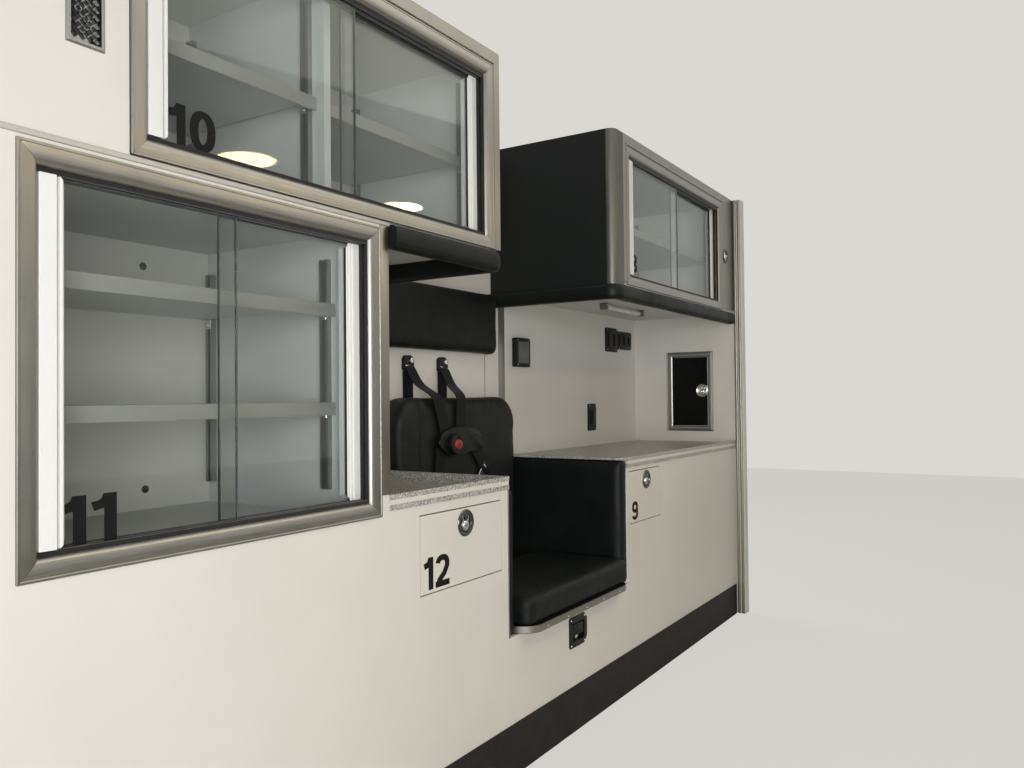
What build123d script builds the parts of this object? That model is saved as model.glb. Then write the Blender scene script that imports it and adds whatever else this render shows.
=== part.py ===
"""Interior side-wall cabinet unit of an ambulance's patient compartment.

Row frame: +X towards the vehicle's front, +Y outboard (the fronts face -Y), +Z up.
The origin is at floor level, under the middle of the unit's box. Millimetres.
"""
from build123d import *
import os

# Widths along X, from the rear end to the front wall
REAR_STILE = 104.0
WINDOW_11_WIDTH = 727.0
BOX_STILE = 26.0
RECESS = 462.0
BAY = 724.0
FRONT_WALL = 40.0

# Widths of the upper cabinets
UPPER_STILE = 271.0
LIFT_WIDTH = 990.0
LIFT_STILE = 27.0
CORNER = 70.0
CORNER_OVERHANG = 77.0
FORE_STILE = 25.0
LOCK_STILE = 155.0
CARCASE_STEP = 6.0

# Heights
KICK = 130.0
SEAT_BASE = 352.0
COUNTER_TOP = 765.0
COUNTER_THICK = 34.0
RECESS_HEIGHT = 562.0
WINDOW_11_HEIGHT = 599.0
WINDOW_11_DROP = 6.0
LIFT_SILL = 11.0
LIFT_HEIGHT = 465.0
HEADER = 28.5

# Depths
UNIT_DEPTH = 480.0
BACK_SKIN = 20.0
SEAT_NOSE = 40.0

# Sheet and panel thicknesses
PANEL = 18.0
FACE = 12.0
LINER = 12.0
LINER_INSET = 50.0
DOOR = 16.0
SHELF = 10.0
SHELF_LIP = 26.0
LIP_THICK = 4.0
STANDARD = 12.0
STANDARD_WIDTH = 22.0
STANDARD_WEB = 3.0
STANDARD_MOUTH = 8.0
PANE = 5.0

# Gaps
SEAM = 3.0
FIT = 0.3

# Window frames, all cut from one extrusion
FRAME_FACE = 31.0
FRAME_LIP = 4.0
FRAME_PROUD = 5.0
FRAME_SLOPE = 9.0
FRAME_INSET = 16.0
FRAME_DEPTH = 46.0
FRAME_GAP = 2.0
GROOVE = 6.0
GROOVE_DEPTH = 10.0
PANE_BITE = 8.0
PANE_LAP = 12.0
LANE_FRONT = 16.0
LANE_REAR = 33.0
FELT = 7.0
FELT_SKIN = 1.2
PULL_WIDTH = 40.0
PULL_LIP = 6.0
PULL_BEVEL = 12.0
PULL_GAP = 1.0
HINGE_RADIUS = 3.0
HINGE_GAP = 0.5

# Cabinet 10's middle post and its leaf
POST_OFFSET = 469.0

# Shelves, their heights above the sill of their window
SHELF_11_HIGH = 440.0
SHELF_11_LOW = 237.0
SHELF_10 = 238.0
SHELF_FORE = 234.0
SHELF_SETBACK = 80.0
SHELF_BACK_GAP = 4.0

# Seat bay
PAD_LEFT = 34.0
PAD_RIGHT = 50.0
PAD_ROUND = 12.0
PAD_RIGHT_ROUND = 22.0
SEAT_BOARD = 20.0
SEAT_CUSHION = 74.0
SEAT_CORNER = 60.0
SEAT_SIDE_GAP = 6.0
SEAT_HINGE_DEPTH = 320.0
CUSHION_INSET = 4.0
CUSHION_CORNER = 22.0
CUSHION_SLOPE = 30.0
BIN_FLOOR = 90.0
BACKREST_THICK = 90.0
BACKREST_RISE = 200.0
BACKREST_CORNER = 90.0
BACKREST_GAP = 8.0
HEAD_PAD_THICK = 50.0
HEAD_PAD_GAP = 148.0
HEAD_PAD_INSET = 8.0

# Bumper pads under the upper cabinets
BUMPER_HEIGHT = 47.0
BUMPER_PROUD = 25.0
BUMPER_IN = 20.0
BUMPER_ROUND = 24.0
BUMPER_CORNER = 45.0
BUMPER_END = 53.0

# Drop-down doors in the lower faces, and the round latches
DOOR_12_WIDTH = 329.0
DOOR_12_HEIGHT = 179.0
DOOR_12_MARGIN = 33.0
DOOR_12_DROP = 22.0
DOOR_9_WIDTH = 266.0
DOOR_9_HEIGHT = 177.0
DOOR_9_MARGIN = 2.0
DOOR_9_DROP = 13.0
BIN_SILL = 18.0
BIN_WALL = 36.0
LATCH_RADIUS = 32.0
LATCH_BODY = 26.0
LATCH_RIM = 4.0
LATCH_DISH = 5.0
LATCH_DEPTH = 24.0
LATCH_DROP = 38.0
LATCH_SHIFT = 8.0
LATCH_HOLE_GAP = 1.0

# Seat latch and post lock
LAMP_LENGTH = 350.0
SEAT_LATCH_WIDTH = 110.0
SEAT_LATCH_HEIGHT = 90.0
SEAT_LATCH_SHIFT = 8.0
SEAT_LATCH_DROP = 22.0
SEAT_LATCH_CUT = 18.0
POST_LOCK_INSET = 117.0
POST_LOCK_RISE = 236.0

# Counters
COUNTER_PROUD = 3.0
COUNTER_RIM = 20.0
COUNTER_SINK = 7.0
COUNTER_WELL = 26.0
COUNTER_LIP = 7.0
COUNTER_CORNER = 33.0

# Pass-through door on the front wall
PASS_INSET = 97.0
PASS_WIDTH = 216.0
PASS_SILL = 40.0
PASS_HEIGHT = 363.0
PASS_RING = 25.0
PASS_BITE = 6.0
PASS_THICK = 6.0
PASS_PANEL = 4.0
PASS_PIN = 2.5
PASS_LATCH_INSET = 49.5
PASS_LATCH_RISE = 185.0
PASS_LATCH_SCALE = 0.92

# Corner extrusion, cove and other trims
CORNER_PROUD = 4.0
CORNER_DEPTH = 30.0
CORNER_ROUND = 26.0
CORNER_SKIN = 3.0
FLUTE = 4.0
FLUTE_DEPTH = 1.5
FLUTE_PITCH = 11.0
COVE_PROUD = 8.0
COVE_RIDGE = 6.0
TRIM = 2.0

# Harness
WEB = 46.0
WEB_THICK = 2.5
ANCHOR_WIDTH = 46.0
ANCHOR_DEPTH = 12.0
ANCHOR_RISE = 87.0
BUCKLE_PAD = 12.0
BUCKLE_RADIUS = 33.0
BUCKLE_DEPTH = 18.0
BUCKLE_DROP = 140.0

# Vent grille
GRILLE_WIDTH = 58.0
GRILLE_HEIGHT = 116.0
GRILLE_OFFSET = 99.0
GRILLE_RISE = 148.0
GRILLE_THICK = 4.0
GRILLE_RIM = 6.0
GRILLE_HOLE = 6.4
GRILLE_PITCH = 5.7

# Places along X
BENCH = CORNER + FORE_STILE + LIFT_WIDTH + LOCK_STILE - CORNER_OVERHANG
UNIT_LENGTH = REAR_STILE + WINDOW_11_WIDTH + BOX_STILE + RECESS + BAY + BENCH + FRONT_WALL
REAR_END = -UNIT_LENGTH / 2
FORE_END = UNIT_LENGTH / 2
BULKHEAD = FORE_END - FRONT_WALL
WINDOW_11_X = REAR_END + REAR_STILE
BOX_END = WINDOW_11_X + WINDOW_11_WIDTH + BOX_STILE
BAY_LEFT = BOX_END + RECESS
BAY_RIGHT = BAY_LEFT + BAY
UPPER_LEFT = BAY_RIGHT - CORNER_OVERHANG
CORNER_END = UPPER_LEFT + CORNER
FORE_LEFT = UPPER_LEFT + PANEL
WINDOW_10_X = REAR_END + UPPER_STILE
WINDOW_FORE_X = CORNER_END + FORE_STILE
CABINET_10_LEFT = WINDOW_10_X + CARCASE_STEP
CABINET_10_END = WINDOW_10_X + LIFT_WIDTH + LIFT_STILE
POST_X = WINDOW_10_X + POST_OFFSET
LINER_LEFT = WINDOW_11_X + LINER_INSET
LINER_RIGHT = WINDOW_11_X + WINDOW_11_WIDTH - LINER_INSET
SEAT_LEFT = BAY_LEFT + PAD_LEFT
SEAT_RIGHT = BAY_RIGHT - PAD_RIGHT
SEAT_LATCH_X = (BAY_LEFT + BAY_RIGHT - SEAT_LATCH_WIDTH) / 2 + SEAT_LATCH_SHIFT
DOOR_12_X = (BAY_LEFT - DOOR_12_MARGIN - DOOR_12_WIDTH, BAY_LEFT - DOOR_12_MARGIN)
DOOR_9_LEFT = BAY_RIGHT + PANEL + DOOR_9_MARGIN
DOOR_9_X = (DOOR_9_LEFT, DOOR_9_LEFT + DOOR_9_WIDTH)
POST_LOCK_X = BULKHEAD - POST_LOCK_INSET

# Places along Y
BACK_OUT = (UNIT_DEPTH + BACK_SKIN + SEAT_NOSE) / 2
BACK = BACK_OUT - BACK_SKIN
FRONT = BACK - UNIT_DEPTH
FACE_BACK = FRONT + FACE
NOSE = FRONT - SEAT_NOSE
LINER_FRONT = FRONT + FRAME_DEPTH + 4.0
POST_FACE = FRONT - FRAME_PROUD + 1.0
HINGE_Y = FRONT - FRAME_PROUD
SHELF_FRONT = FRONT + SHELF_SETBACK
SHELF_BACK = BACK - SHELF_BACK_GAP
SEAT_HINGE_Y = FRONT + SEAT_HINGE_DEPTH
BACKREST_FACE = BACK - BACKREST_THICK
PASS_Y = (FRONT + PASS_INSET, FRONT + PASS_INSET + PASS_WIDTH)

# Places along Z
COUNTER_BASE = COUNTER_TOP - COUNTER_THICK
UPPER_BOTTOM = COUNTER_TOP + RECESS_HEIGHT
BOX_TOP = UPPER_BOTTOM + PANEL
WINDOW_11_TOP = UPPER_BOTTOM - WINDOW_11_DROP
WINDOW_11_Z = WINDOW_11_TOP - WINDOW_11_HEIGHT
LIFT_Z = UPPER_BOTTOM + LIFT_SILL
LIFT_TOP = LIFT_Z + LIFT_HEIGHT
HINGE_Z = LIFT_TOP + HINGE_GAP + HINGE_RADIUS
HEADER_BASE = HINGE_Z + HINGE_RADIUS
UNIT_HEIGHT = HEADER_BASE + HEADER
TOP_DECK = UNIT_HEIGHT - PANEL
POST_LOCK_Z = LIFT_Z + POST_LOCK_RISE
SEAT_TOP = SEAT_BASE + FIT + SEAT_BOARD
CUSHION_TOP = SEAT_TOP + SEAT_CUSHION
SEAT_LATCH_Z = SEAT_BASE - SEAT_LATCH_DROP - SEAT_LATCH_HEIGHT
BACKREST_TOP = COUNTER_TOP + BACKREST_RISE
DOOR_12_TOP = COUNTER_BASE - DOOR_12_DROP
DOOR_12_Z = (DOOR_12_TOP - DOOR_12_HEIGHT, DOOR_12_TOP)
DOOR_9_TOP = COUNTER_BASE - DOOR_9_DROP
DOOR_9_Z = (DOOR_9_TOP - DOOR_9_HEIGHT, DOOR_9_TOP)
PASS_Z = (COUNTER_TOP + PASS_SILL, COUNTER_TOP + PASS_SILL + PASS_HEIGHT)

# Hinge pins of the small doors
DOOR_PIN = SEAM / 2 - FIT
PASS_BACK = BULKHEAD - FIT
PASS_FACE = PASS_BACK - PASS_THICK
PASS_PIN_Y = PASS_Y[1] + FIT + PASS_PIN
PASS_PIN_X = (PASS_FACE + PASS_BACK) / 2

FROM_BASE = (Align.CENTER, Align.CENTER, Align.MIN)


def slab(x, y, z):
    """A box between two limits on each axis."""
    size = (x[1] - x[0], y[1] - y[0], z[1] - z[0])
    return Pos(x[0], y[0], z[0]) * Box(*size, align=(Align.MIN, Align.MIN, Align.MIN))


def front_outline(points, y0, y1):
    """A front-view outline of (x, z) points, made solid from y0 back to y1."""
    face = make_face(Polyline(*points, close=True))
    upright = Plane(origin=(0, y1, 0), x_dir=(1, 0, 0), z_dir=(0, -1, 0))
    return extrude(upright * face, y1 - y0)


def front_corners(block):
    """The two upright edges at the front of a block, the left one first."""
    return block.edges().filter_by(Axis.Z).sort_by(Axis.Y)[:2].sort_by(Axis.X)


def window_frame(x0, z0, width, height):
    """A mitred frame: sloping face, rear channel and two grooves for the panes."""
    x1 = x0 + width
    z1 = z0 + height

    def ring(inset, y0, y1):
        return slab((x0 + inset, x1 - inset), (y0, y1), (z0 + inset, z1 - inset))

    face_y = FRONT - FRAME_PROUD
    slope_y = face_y + FRAME_SLOPE
    frame = ring(0, face_y, FRONT) + ring(FRAME_INSET, FRONT, FRONT + FRAME_DEPTH)
    frame -= ring(FRAME_FACE, face_y, FRONT + FRAME_DEPTH)
    near = Plane(origin=(x0 + width / 2, face_y, z0 + height / 2), x_dir=(1, 0, 0), z_dir=(0, -1, 0))
    deep = Plane(origin=(x0 + width / 2, slope_y, z0 + height / 2), x_dir=(1, 0, 0), z_dir=(0, -1, 0))
    wide = near * Rectangle(width - 2 * FRAME_LIP, height - 2 * FRAME_LIP)
    tight = deep * Rectangle(width - 2 * FRAME_FACE, height - 2 * FRAME_FACE)
    frame -= loft([wide, tight])
    for lane in (LANE_FRONT, LANE_REAR):
        middle = FRONT + lane
        frame -= ring(FRAME_FACE - GROOVE_DEPTH, middle - GROOVE / 2, middle + GROOVE / 2)
    return frame


def window_track(x0, z0, width, height):
    """Felt runs above and below the panes, and thin felt skins on each jamb."""
    x = (x0 + FRAME_FACE, x0 + width - FRAME_FACE)
    z = (z0 + FRAME_FACE, z0 + height - FRAME_FACE)
    # Front and back of each rib, from the face of the unit
    ribs = [
        (CARCASE_STEP, LANE_FRONT - GROOVE / 2),
        (LANE_FRONT + GROOVE / 2, LANE_REAR - GROOVE / 2),
        (LANE_REAR + GROOVE / 2, FRAME_DEPTH - FRAME_GAP),
    ]
    strips = []
    for near, far in ribs:
        y = (FRONT + near, FRONT + far)
        strips.append(slab(x, y, (z[0], z[0] + FELT)))
        strips.append(slab(x, y, (z[1] - FELT, z[1])))
    # Each jamb's skins leave the lane open that an opened pane slides into
    between = (z[0] + FELT, z[1] - FELT)
    for near, far in ribs[1:]:
        strips.append(slab((x[0], x[0] + FELT_SKIN), (FRONT + near, FRONT + far), between))
    for near, far in ribs[:2]:
        strips.append(slab((x[1] - FELT_SKIN, x[1]), (FRONT + near, FRONT + far), between))
    return Compound(strips)


def pane(x0, z0, width, height, side):
    """One sliding pane, the left one in the front lane and the right one behind it."""
    bite = FRAME_FACE - PANE_BITE
    middle = x0 + width / 2
    if side == "left":
        x = (x0 + bite, middle + PANE_LAP)
        lane = LANE_FRONT
    else:
        x = (middle - PANE_LAP, x0 + width - bite)
        lane = LANE_REAR
    y = (FRONT + lane - PANE / 2, FRONT + lane + PANE / 2)
    return slab(x, y, (z0 + bite, z0 + height - bite - 2.0))


def pull_strip(x, z, y, side, mouth):
    """A full-height finger pull: a channel, open over mouth, with bevelled inner corners."""
    inner = x[1] if side == "left" else x[0]
    outer = x[0] if side == "left" else x[1]
    step = PULL_BEVEL if inner > outer else -PULL_BEVEL
    outline = [
        (outer, z[0]),
        (inner - step, z[0]),
        (inner, z[0] + PULL_BEVEL),
        (inner, z[1] - PULL_BEVEL),
        (inner - step, z[1]),
        (outer, z[1]),
    ]
    strip = front_outline(outline, y[0], y[1])
    return strip - slab((x[0] + PULL_LIP, x[1] - PULL_LIP), mouth, z)


def pull(x0, z0, width, height, side):
    """The pull on one pane: in front of it, and behind it too on the rear lane."""
    start = FRAME_FACE + 2.0
    inset = FRAME_FACE + FELT + PULL_GAP
    z = (z0 + inset, z0 + height - inset)
    if side == "left":
        x = (x0 + start, x0 + start + PULL_WIDTH)
        face = FRONT + LANE_FRONT - PANE / 2 - FIT
        return pull_strip(x, z, (FRONT + 2.0, face), side, (FRONT, face - 3.0))
    x = (x0 + width - start - PULL_WIDTH, x0 + width - start)
    face = FRONT + LANE_REAR - PANE / 2 - FIT
    rear = FRONT + LANE_REAR + PANE / 2 + FIT
    outer = pull_strip(x, z, (face - 4.7, face), side, (face - 5.0, face - 2.0))
    inner = pull_strip(x, z, (rear, rear + 9.7), side, (rear + 3.0, rear + 10.0))
    return Compound([outer, inner])


def lower_door(x, z):
    """A flush drop-down door with its latch hole."""
    door = slab((x[0] + SEAM, x[1] - SEAM), (FRONT, FRONT + DOOR), (z[0] + SEAM, z[1] - SEAM))
    hole = Cylinder(LATCH_BODY + LATCH_HOLE_GAP, DOOR * 3, rotation=(90, 0, 0))
    return door - Pos(sum(x) / 2 + LATCH_SHIFT, FRONT, z[1] - LATCH_DROP) * hole


def round_latch():
    """A flush latch about its own axis, towards +Z: rimmed dish, paddle, key hub and body."""
    section = Polyline(
        (0, -LATCH_DEPTH),
        (LATCH_BODY, -LATCH_DEPTH),
        (LATCH_BODY, FIT),
        (LATCH_RADIUS, FIT),
        (LATCH_RADIUS, LATCH_RIM),
        (LATCH_BODY - 4.0, LATCH_RIM),
        (LATCH_BODY - 4.0, -LATCH_DISH),
        (0, -LATCH_DISH),
        close=True,
    )
    dish = revolve(Plane.XZ * make_face(section), Axis.Z)
    rise = LATCH_DISH + LATCH_RIM / 2
    stem = Pos(0, 12.0, -LATCH_DISH) * Box(11.0, 18.0, rise, align=FROM_BASE)
    bar = Pos(0, 15.0, -LATCH_DISH) * Box(26.0, 8.0, rise - 1.0, align=FROM_BASE)
    hub = Pos(0, -4.0, -LATCH_DISH) * Cylinder(11.0, rise + 1.0, align=FROM_BASE)
    return dish + stem + bar + hub


def ribbon(stations):
    """A flat strap through (x, y, z) stations, its width along X, as a ruled loft."""
    sections = []
    for index, (x, y, z) in enumerate(stations):
        before = stations[max(index - 1, 0)]
        after = stations[min(index + 1, len(stations) - 1)]
        flat = Vector(0, after[1] - before[1], after[2] - before[2]).normalized()
        plane = Plane(origin=(x, y, z), x_dir=(1, 0, 0), z_dir=flat)
        sections.append(plane * Rectangle(WEB, WEB_THICK))
    return loft(sections, ruled=True)


def build_shell():
    """Back skin, front wall, partitions and decks."""
    parts = {}
    parts["back_skin"] = slab((REAR_END, BULKHEAD), (BACK, BACK_OUT), (0, UNIT_HEIGHT))
    wall = slab((BULKHEAD, FORE_END), (NOSE, BACK_OUT), (0, UNIT_HEIGHT))
    inset = PASS_RING - PASS_BITE
    hole_y = (PASS_Y[0] + inset, PASS_Y[1] - inset)
    hole_z = (PASS_Z[0] + inset, PASS_Z[1] - inset)
    parts["front_wall"] = wall - slab((BULKHEAD - 1, FORE_END + 1), hole_y, hole_z)

    # Vertical panels: left face, thickness, bottom, top, front edge
    liner_base = WINDOW_11_Z + LINER - 1.0
    liner_top = WINDOW_11_TOP - FRAME_INSET
    bin_right = DOOR_9_X[1] + BIN_WALL
    uprights = [
        (REAR_END, PANEL, 0, UNIT_HEIGHT, FACE_BACK),
        (LINER_LEFT - LINER, LINER, liner_base, liner_top, LINER_FRONT),
        (LINER_RIGHT, LINER, liner_base, liner_top, LINER_FRONT),
        (BOX_END - PANEL, PANEL, 0, UPPER_BOTTOM, FACE_BACK),
        (BAY_LEFT - PANEL, PANEL, 0, COUNTER_BASE, FACE_BACK),
        (BAY_RIGHT, PANEL, 0, COUNTER_BASE, FACE_BACK),
        (bin_right, PANEL, 0, COUNTER_BASE, FACE_BACK),
        (CABINET_10_LEFT - PANEL, PANEL, BOX_TOP, TOP_DECK, FACE_BACK),
        (CABINET_10_END - PANEL, PANEL, BOX_TOP, TOP_DECK, FACE_BACK),
    ]
    panels = [
        slab((x, x + thick), (edge, BACK), (low, top))
        for x, thick, low, top, edge in uprights
    ]
    leaf_y = (FRONT + FRAME_DEPTH + 9.0, BACK)
    panels.append(slab((POST_X - PANEL / 2, POST_X + PANEL / 2), leaf_y, (BOX_TOP, TOP_DECK)))
    parts["partitions"] = Compound(panels)

    # Horizontal panels: left end, right end, bottom, thickness, front edge
    rear_inner = REAR_END + PANEL
    boards = [
        (LINER_LEFT - LINER, BOX_END - PANEL, liner_base - LINER, LINER, LINER_FRONT),
        (LINER_LEFT - LINER, BOX_END - PANEL, liner_top, LINER, LINER_FRONT),
        (rear_inner, CABINET_10_END, UPPER_BOTTOM, PANEL, FACE_BACK),
        (rear_inner, CABINET_10_END, TOP_DECK, PANEL, FACE_BACK),
        (BOX_END, BAY_LEFT - PANEL, DOOR_12_Z[0] - BIN_SILL, LINER, FACE_BACK),
        (BAY_RIGHT + PANEL, bin_right, DOOR_9_Z[0] - BIN_SILL, LINER, FACE_BACK),
        (BAY_LEFT, BAY_RIGHT, BIN_FLOOR, LINER, FACE_BACK),
        (BAY_LEFT, BAY_RIGHT, SEAT_BASE - PANEL, PANEL, SEAT_HINGE_Y - 10.0),
        (FORE_LEFT, BULKHEAD, UPPER_BOTTOM, PANEL, FRONT + 1.0),
        (FORE_LEFT, BULKHEAD, TOP_DECK, PANEL, FACE_BACK),
    ]
    parts["decks"] = Compound([
        slab((x0, x1), (edge, BACK), (low, low + thick))
        for x0, x1, low, thick, edge in boards
    ])
    side_y = (FRONT - CORNER_PROUD + CORNER_DEPTH, BACK)
    parts["fore_side"] = slab((UPPER_LEFT, FORE_LEFT), side_y, (UPPER_BOTTOM, UNIT_HEIGHT))
    return parts


def build_faces():
    """Front panels with their cut-outs, and the posts round the lift-up frames."""
    parts = {}
    thick = (FRONT, FACE_BACK)
    outline = [
        (REAR_END, 0),
        (BAY_LEFT, 0),
        (BAY_LEFT, COUNTER_BASE),
        (BOX_END, COUNTER_BASE),
        (BOX_END, UPPER_BOTTOM),
        (REAR_END, UPPER_BOTTOM),
    ]
    rear = front_outline(outline, *thick)
    cut = FRAME_INSET - FRAME_GAP
    window_x = (WINDOW_11_X + cut, WINDOW_11_X + WINDOW_11_WIDTH - cut)
    rear -= slab(window_x, thick, (WINDOW_11_Z + cut, WINDOW_11_TOP - cut))
    rear -= slab(DOOR_12_X, thick, DOOR_12_Z)
    parts["face_rear"] = rear

    seam_top = UPPER_BOTTOM + PANEL / 2
    upper = slab((REAR_END, WINDOW_10_X - 1.0), thick, (seam_top, UNIT_HEIGHT))
    duct = WINDOW_10_X - GRILLE_OFFSET
    duct_x = (duct + GRILLE_RIM, duct + GRILLE_WIDTH - GRILLE_RIM)
    duct_base = UPPER_BOTTOM + GRILLE_RISE
    duct_z = (duct_base + GRILLE_RIM, duct_base + GRILLE_HEIGHT - GRILLE_RIM)
    parts["face_rear_upper"] = upper - slab(duct_x, thick, duct_z)

    seat = slab((BAY_LEFT, BAY_RIGHT + PANEL), thick, (0, SEAT_BASE))
    hole_x = (SEAT_LATCH_X + 11.0, SEAT_LATCH_X + SEAT_LATCH_WIDTH - 11.0)
    hole_z = (SEAT_LATCH_Z + 9.0, SEAT_LATCH_Z + SEAT_LATCH_HEIGHT - 12.0)
    parts["face_seat"] = seat - slab(hole_x, thick, hole_z)

    fore = slab((BAY_RIGHT + PANEL, BULKHEAD), thick, (0, COUNTER_BASE))
    parts["face_fore"] = fore - slab(DOOR_9_X, thick, DOOR_9_Z)

    post_y = (POST_FACE, FACE_BACK)
    rear_right = WINDOW_10_X + LIFT_WIDTH + FRAME_GAP
    rear_post = slab((WINDOW_10_X, CABINET_10_END), post_y, (HEADER_BASE, UNIT_HEIGHT))
    rear_post += slab((rear_right, CABINET_10_END), post_y, (LIFT_Z, HEADER_BASE))
    fore_right = WINDOW_FORE_X + LIFT_WIDTH + FRAME_GAP
    fore_post = slab((CORNER_END, BULKHEAD), post_y, (HEADER_BASE, UNIT_HEIGHT))
    fore_post += slab((CORNER_END, WINDOW_FORE_X - FRAME_GAP), post_y, (BOX_TOP, HEADER_BASE))
    fore_post += slab((fore_right, BULKHEAD), post_y, (BOX_TOP, HEADER_BASE))
    lock_hole = Cylinder(LATCH_BODY + LATCH_HOLE_GAP, 3 * FACE, rotation=(90, 0, 0))
    fore_post -= Pos(POST_LOCK_X, FRONT, POST_LOCK_Z) * lock_hole
    parts["face_posts"] = Compound([rear_post, fore_post])
    return parts


def build_trims():
    """Aluminium trims, the fluted corner of the fore cabinet and the kick strip."""
    parts = {}
    strips = []
    edge_x = (WINDOW_11_X + WINDOW_11_WIDTH + FRAME_GAP, BOX_END + TRIM)
    strips.append(slab(edge_x, (FRONT - TRIM, FRONT), (COUNTER_TOP, UPPER_BOTTOM)))
    seam_z = (UPPER_BOTTOM, UPPER_BOTTOM + PANEL / 2)
    strips.append(slab((REAR_END, BOX_END + 6.0), (FRONT - 2 * TRIM, FACE_BACK), seam_z))
    strips.append(slab((BAY_LEFT - SEAM, BAY_LEFT), (FRONT - TRIM, FRONT), (SEAT_BASE, COUNTER_BASE)))

    corner_y = (FRONT - CORNER_PROUD, FRONT - CORNER_PROUD + CORNER_DEPTH)
    corner = slab((UPPER_LEFT, CORNER_END), corner_y, (UPPER_BOTTOM, UNIT_HEIGHT))
    corner = fillet(front_corners(corner)[0], CORNER_ROUND)
    hollow_x = (UPPER_LEFT + CORNER_SKIN, CORNER_END + 1)
    hollow_y = (corner_y[0] + CORNER_SKIN, corner_y[1] + 1)
    hollow_z = (UPPER_BOTTOM - 1, UNIT_HEIGHT + 1)
    hollow = slab(hollow_x, hollow_y, hollow_z)
    corner -= fillet(front_corners(hollow)[0], CORNER_ROUND - CORNER_SKIN)
    for index in range(3):
        flute = CORNER_END - FLUTE_PITCH * (index + 1)
        corner -= slab((flute, flute + FLUTE), (corner_y[0], corner_y[0] + FLUTE_DEPTH), hollow_z)
    strips.append(corner)

    cove_y = (NOSE + SEAM, FRONT - FRAME_PROUD)
    cove = slab((BULKHEAD - COVE_PROUD, BULKHEAD), cove_y, (0, UNIT_HEIGHT))
    for centre in (cove_y[0] + COVE_RIDGE + TRIM, cove_y[1] - COVE_RIDGE - TRIM):
        ridge = Cylinder(COVE_RIDGE, UNIT_HEIGHT)
        cove += Pos(BULKHEAD - COVE_PROUD, centre, UNIT_HEIGHT / 2) * ridge
    strips.append(cove)
    parts["trims"] = Compound(strips)
    kick_x = (REAR_END, BULKHEAD - COVE_PROUD - COVE_RIDGE - 1.0)
    parts["kick_strip"] = slab(kick_x, (FRONT - SEAM, FRONT), (0, KICK))
    return parts


def build_windows():
    """Three framed windows, each with felt tracks, two sliding panes and their pulls."""
    parts = {}
    # Name, left, bottom, width, height
    windows = [
        ("11", WINDOW_11_X, WINDOW_11_Z, WINDOW_11_WIDTH, WINDOW_11_HEIGHT),
        ("10", WINDOW_10_X, LIFT_Z, LIFT_WIDTH, LIFT_HEIGHT),
        ("fore", WINDOW_FORE_X, LIFT_Z, LIFT_WIDTH, LIFT_HEIGHT),
    ]
    for name, *place in windows:
        parts[f"frame_{name}"] = window_frame(*place)
        parts[f"track_{name}"] = window_track(*place)
        for side in ("left", "right"):
            parts[f"pane_{name}_{side}"] = pane(*place, side)
            parts[f"pull_{name}_{side}"] = pull(*place, side)
    # Left end, length, radius, depth and height of each level hinge barrel
    level = [
        (WINDOW_10_X, LIFT_WIDTH, HINGE_RADIUS, HINGE_Y, HINGE_Z),
        (WINDOW_FORE_X, LIFT_WIDTH, HINGE_RADIUS, HINGE_Y, HINGE_Z),
        (DOOR_12_X[0], DOOR_12_WIDTH, DOOR_PIN, FRONT + DOOR_PIN, DOOR_12_Z[0] + SEAM / 2),
        (DOOR_9_X[0], DOOR_9_WIDTH, DOOR_PIN, FRONT + DOOR_PIN, DOOR_9_Z[0] + SEAM / 2),
    ]
    barrels = []
    for left, length, radius, depth, height in level:
        barrel = Cylinder(radius, length, rotation=(0, 90, 0))
        barrels.append(Pos(left + length / 2, depth, height) * barrel)
    upright = Cylinder(PASS_PIN, PASS_HEIGHT)
    barrels.append(Pos(PASS_PIN_X, PASS_PIN_Y, sum(PASS_Z) / 2) * upright)
    parts["piano_hinges"] = Compound(barrels)
    return parts


def build_shelves():
    """Shelves with turned-down lips, and the slotted standards that carry them."""
    parts = {}
    # Left end, right end, top of the shelf
    shelves = [
        (LINER_LEFT, LINER_RIGHT, WINDOW_11_Z + SHELF_11_HIGH),
        (LINER_LEFT, LINER_RIGHT, WINDOW_11_Z + SHELF_11_LOW),
        (CABINET_10_LEFT, POST_X - PANEL / 2, LIFT_Z + SHELF_10),
        (POST_X + PANEL / 2, CABINET_10_END - PANEL, LIFT_Z + SHELF_10),
        (FORE_LEFT, BULKHEAD, LIFT_Z + SHELF_FORE),
    ]
    boards = []
    for left, right, top in shelves:
        x = (left + STANDARD + FIT, right - STANDARD - FIT)
        board = slab(x, (SHELF_FRONT, SHELF_BACK), (top - SHELF, top))
        lip = slab(x, (SHELF_FRONT - LIP_THICK, SHELF_FRONT), (top - SHELF_LIP, top))
        boards.append(board + lip)
    parts["shelves"] = Compound(boards)

    low = (WINDOW_11_Z + 58.0, WINDOW_11_TOP - 66.0)
    high = (BOX_TOP + 35.0, TOP_DECK - 40.0)
    # Inner side wall, which way it faces, bottom and top of the standards
    walls = [
        (LINER_LEFT, 1, low),
        (LINER_RIGHT, -1, low),
        (CABINET_10_LEFT, 1, high),
        (POST_X - PANEL / 2, -1, high),
        (POST_X + PANEL / 2, 1, high),
        (CABINET_10_END - PANEL, -1, high),
        (FORE_LEFT, 1, high),
        (BULKHEAD, -1, high),
    ]
    margin = (STANDARD_WIDTH - STANDARD_MOUTH) / 2
    channels = []
    for wall, sign, z in walls:
        x = sorted((wall, wall + sign * STANDARD))
        mouth = sorted((wall + sign * STANDARD_WEB, wall + sign * STANDARD))
        for y in (SHELF_FRONT + 8.0, SHELF_BACK - 2.0 - STANDARD_WIDTH):
            strip = slab(x, (y, y + STANDARD_WIDTH), z)
            channels.append(strip - slab(mouth, (y + margin, y + margin + STANDARD_MOUTH), z))
    parts["standards"] = Compound(channels)
    return parts


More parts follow.
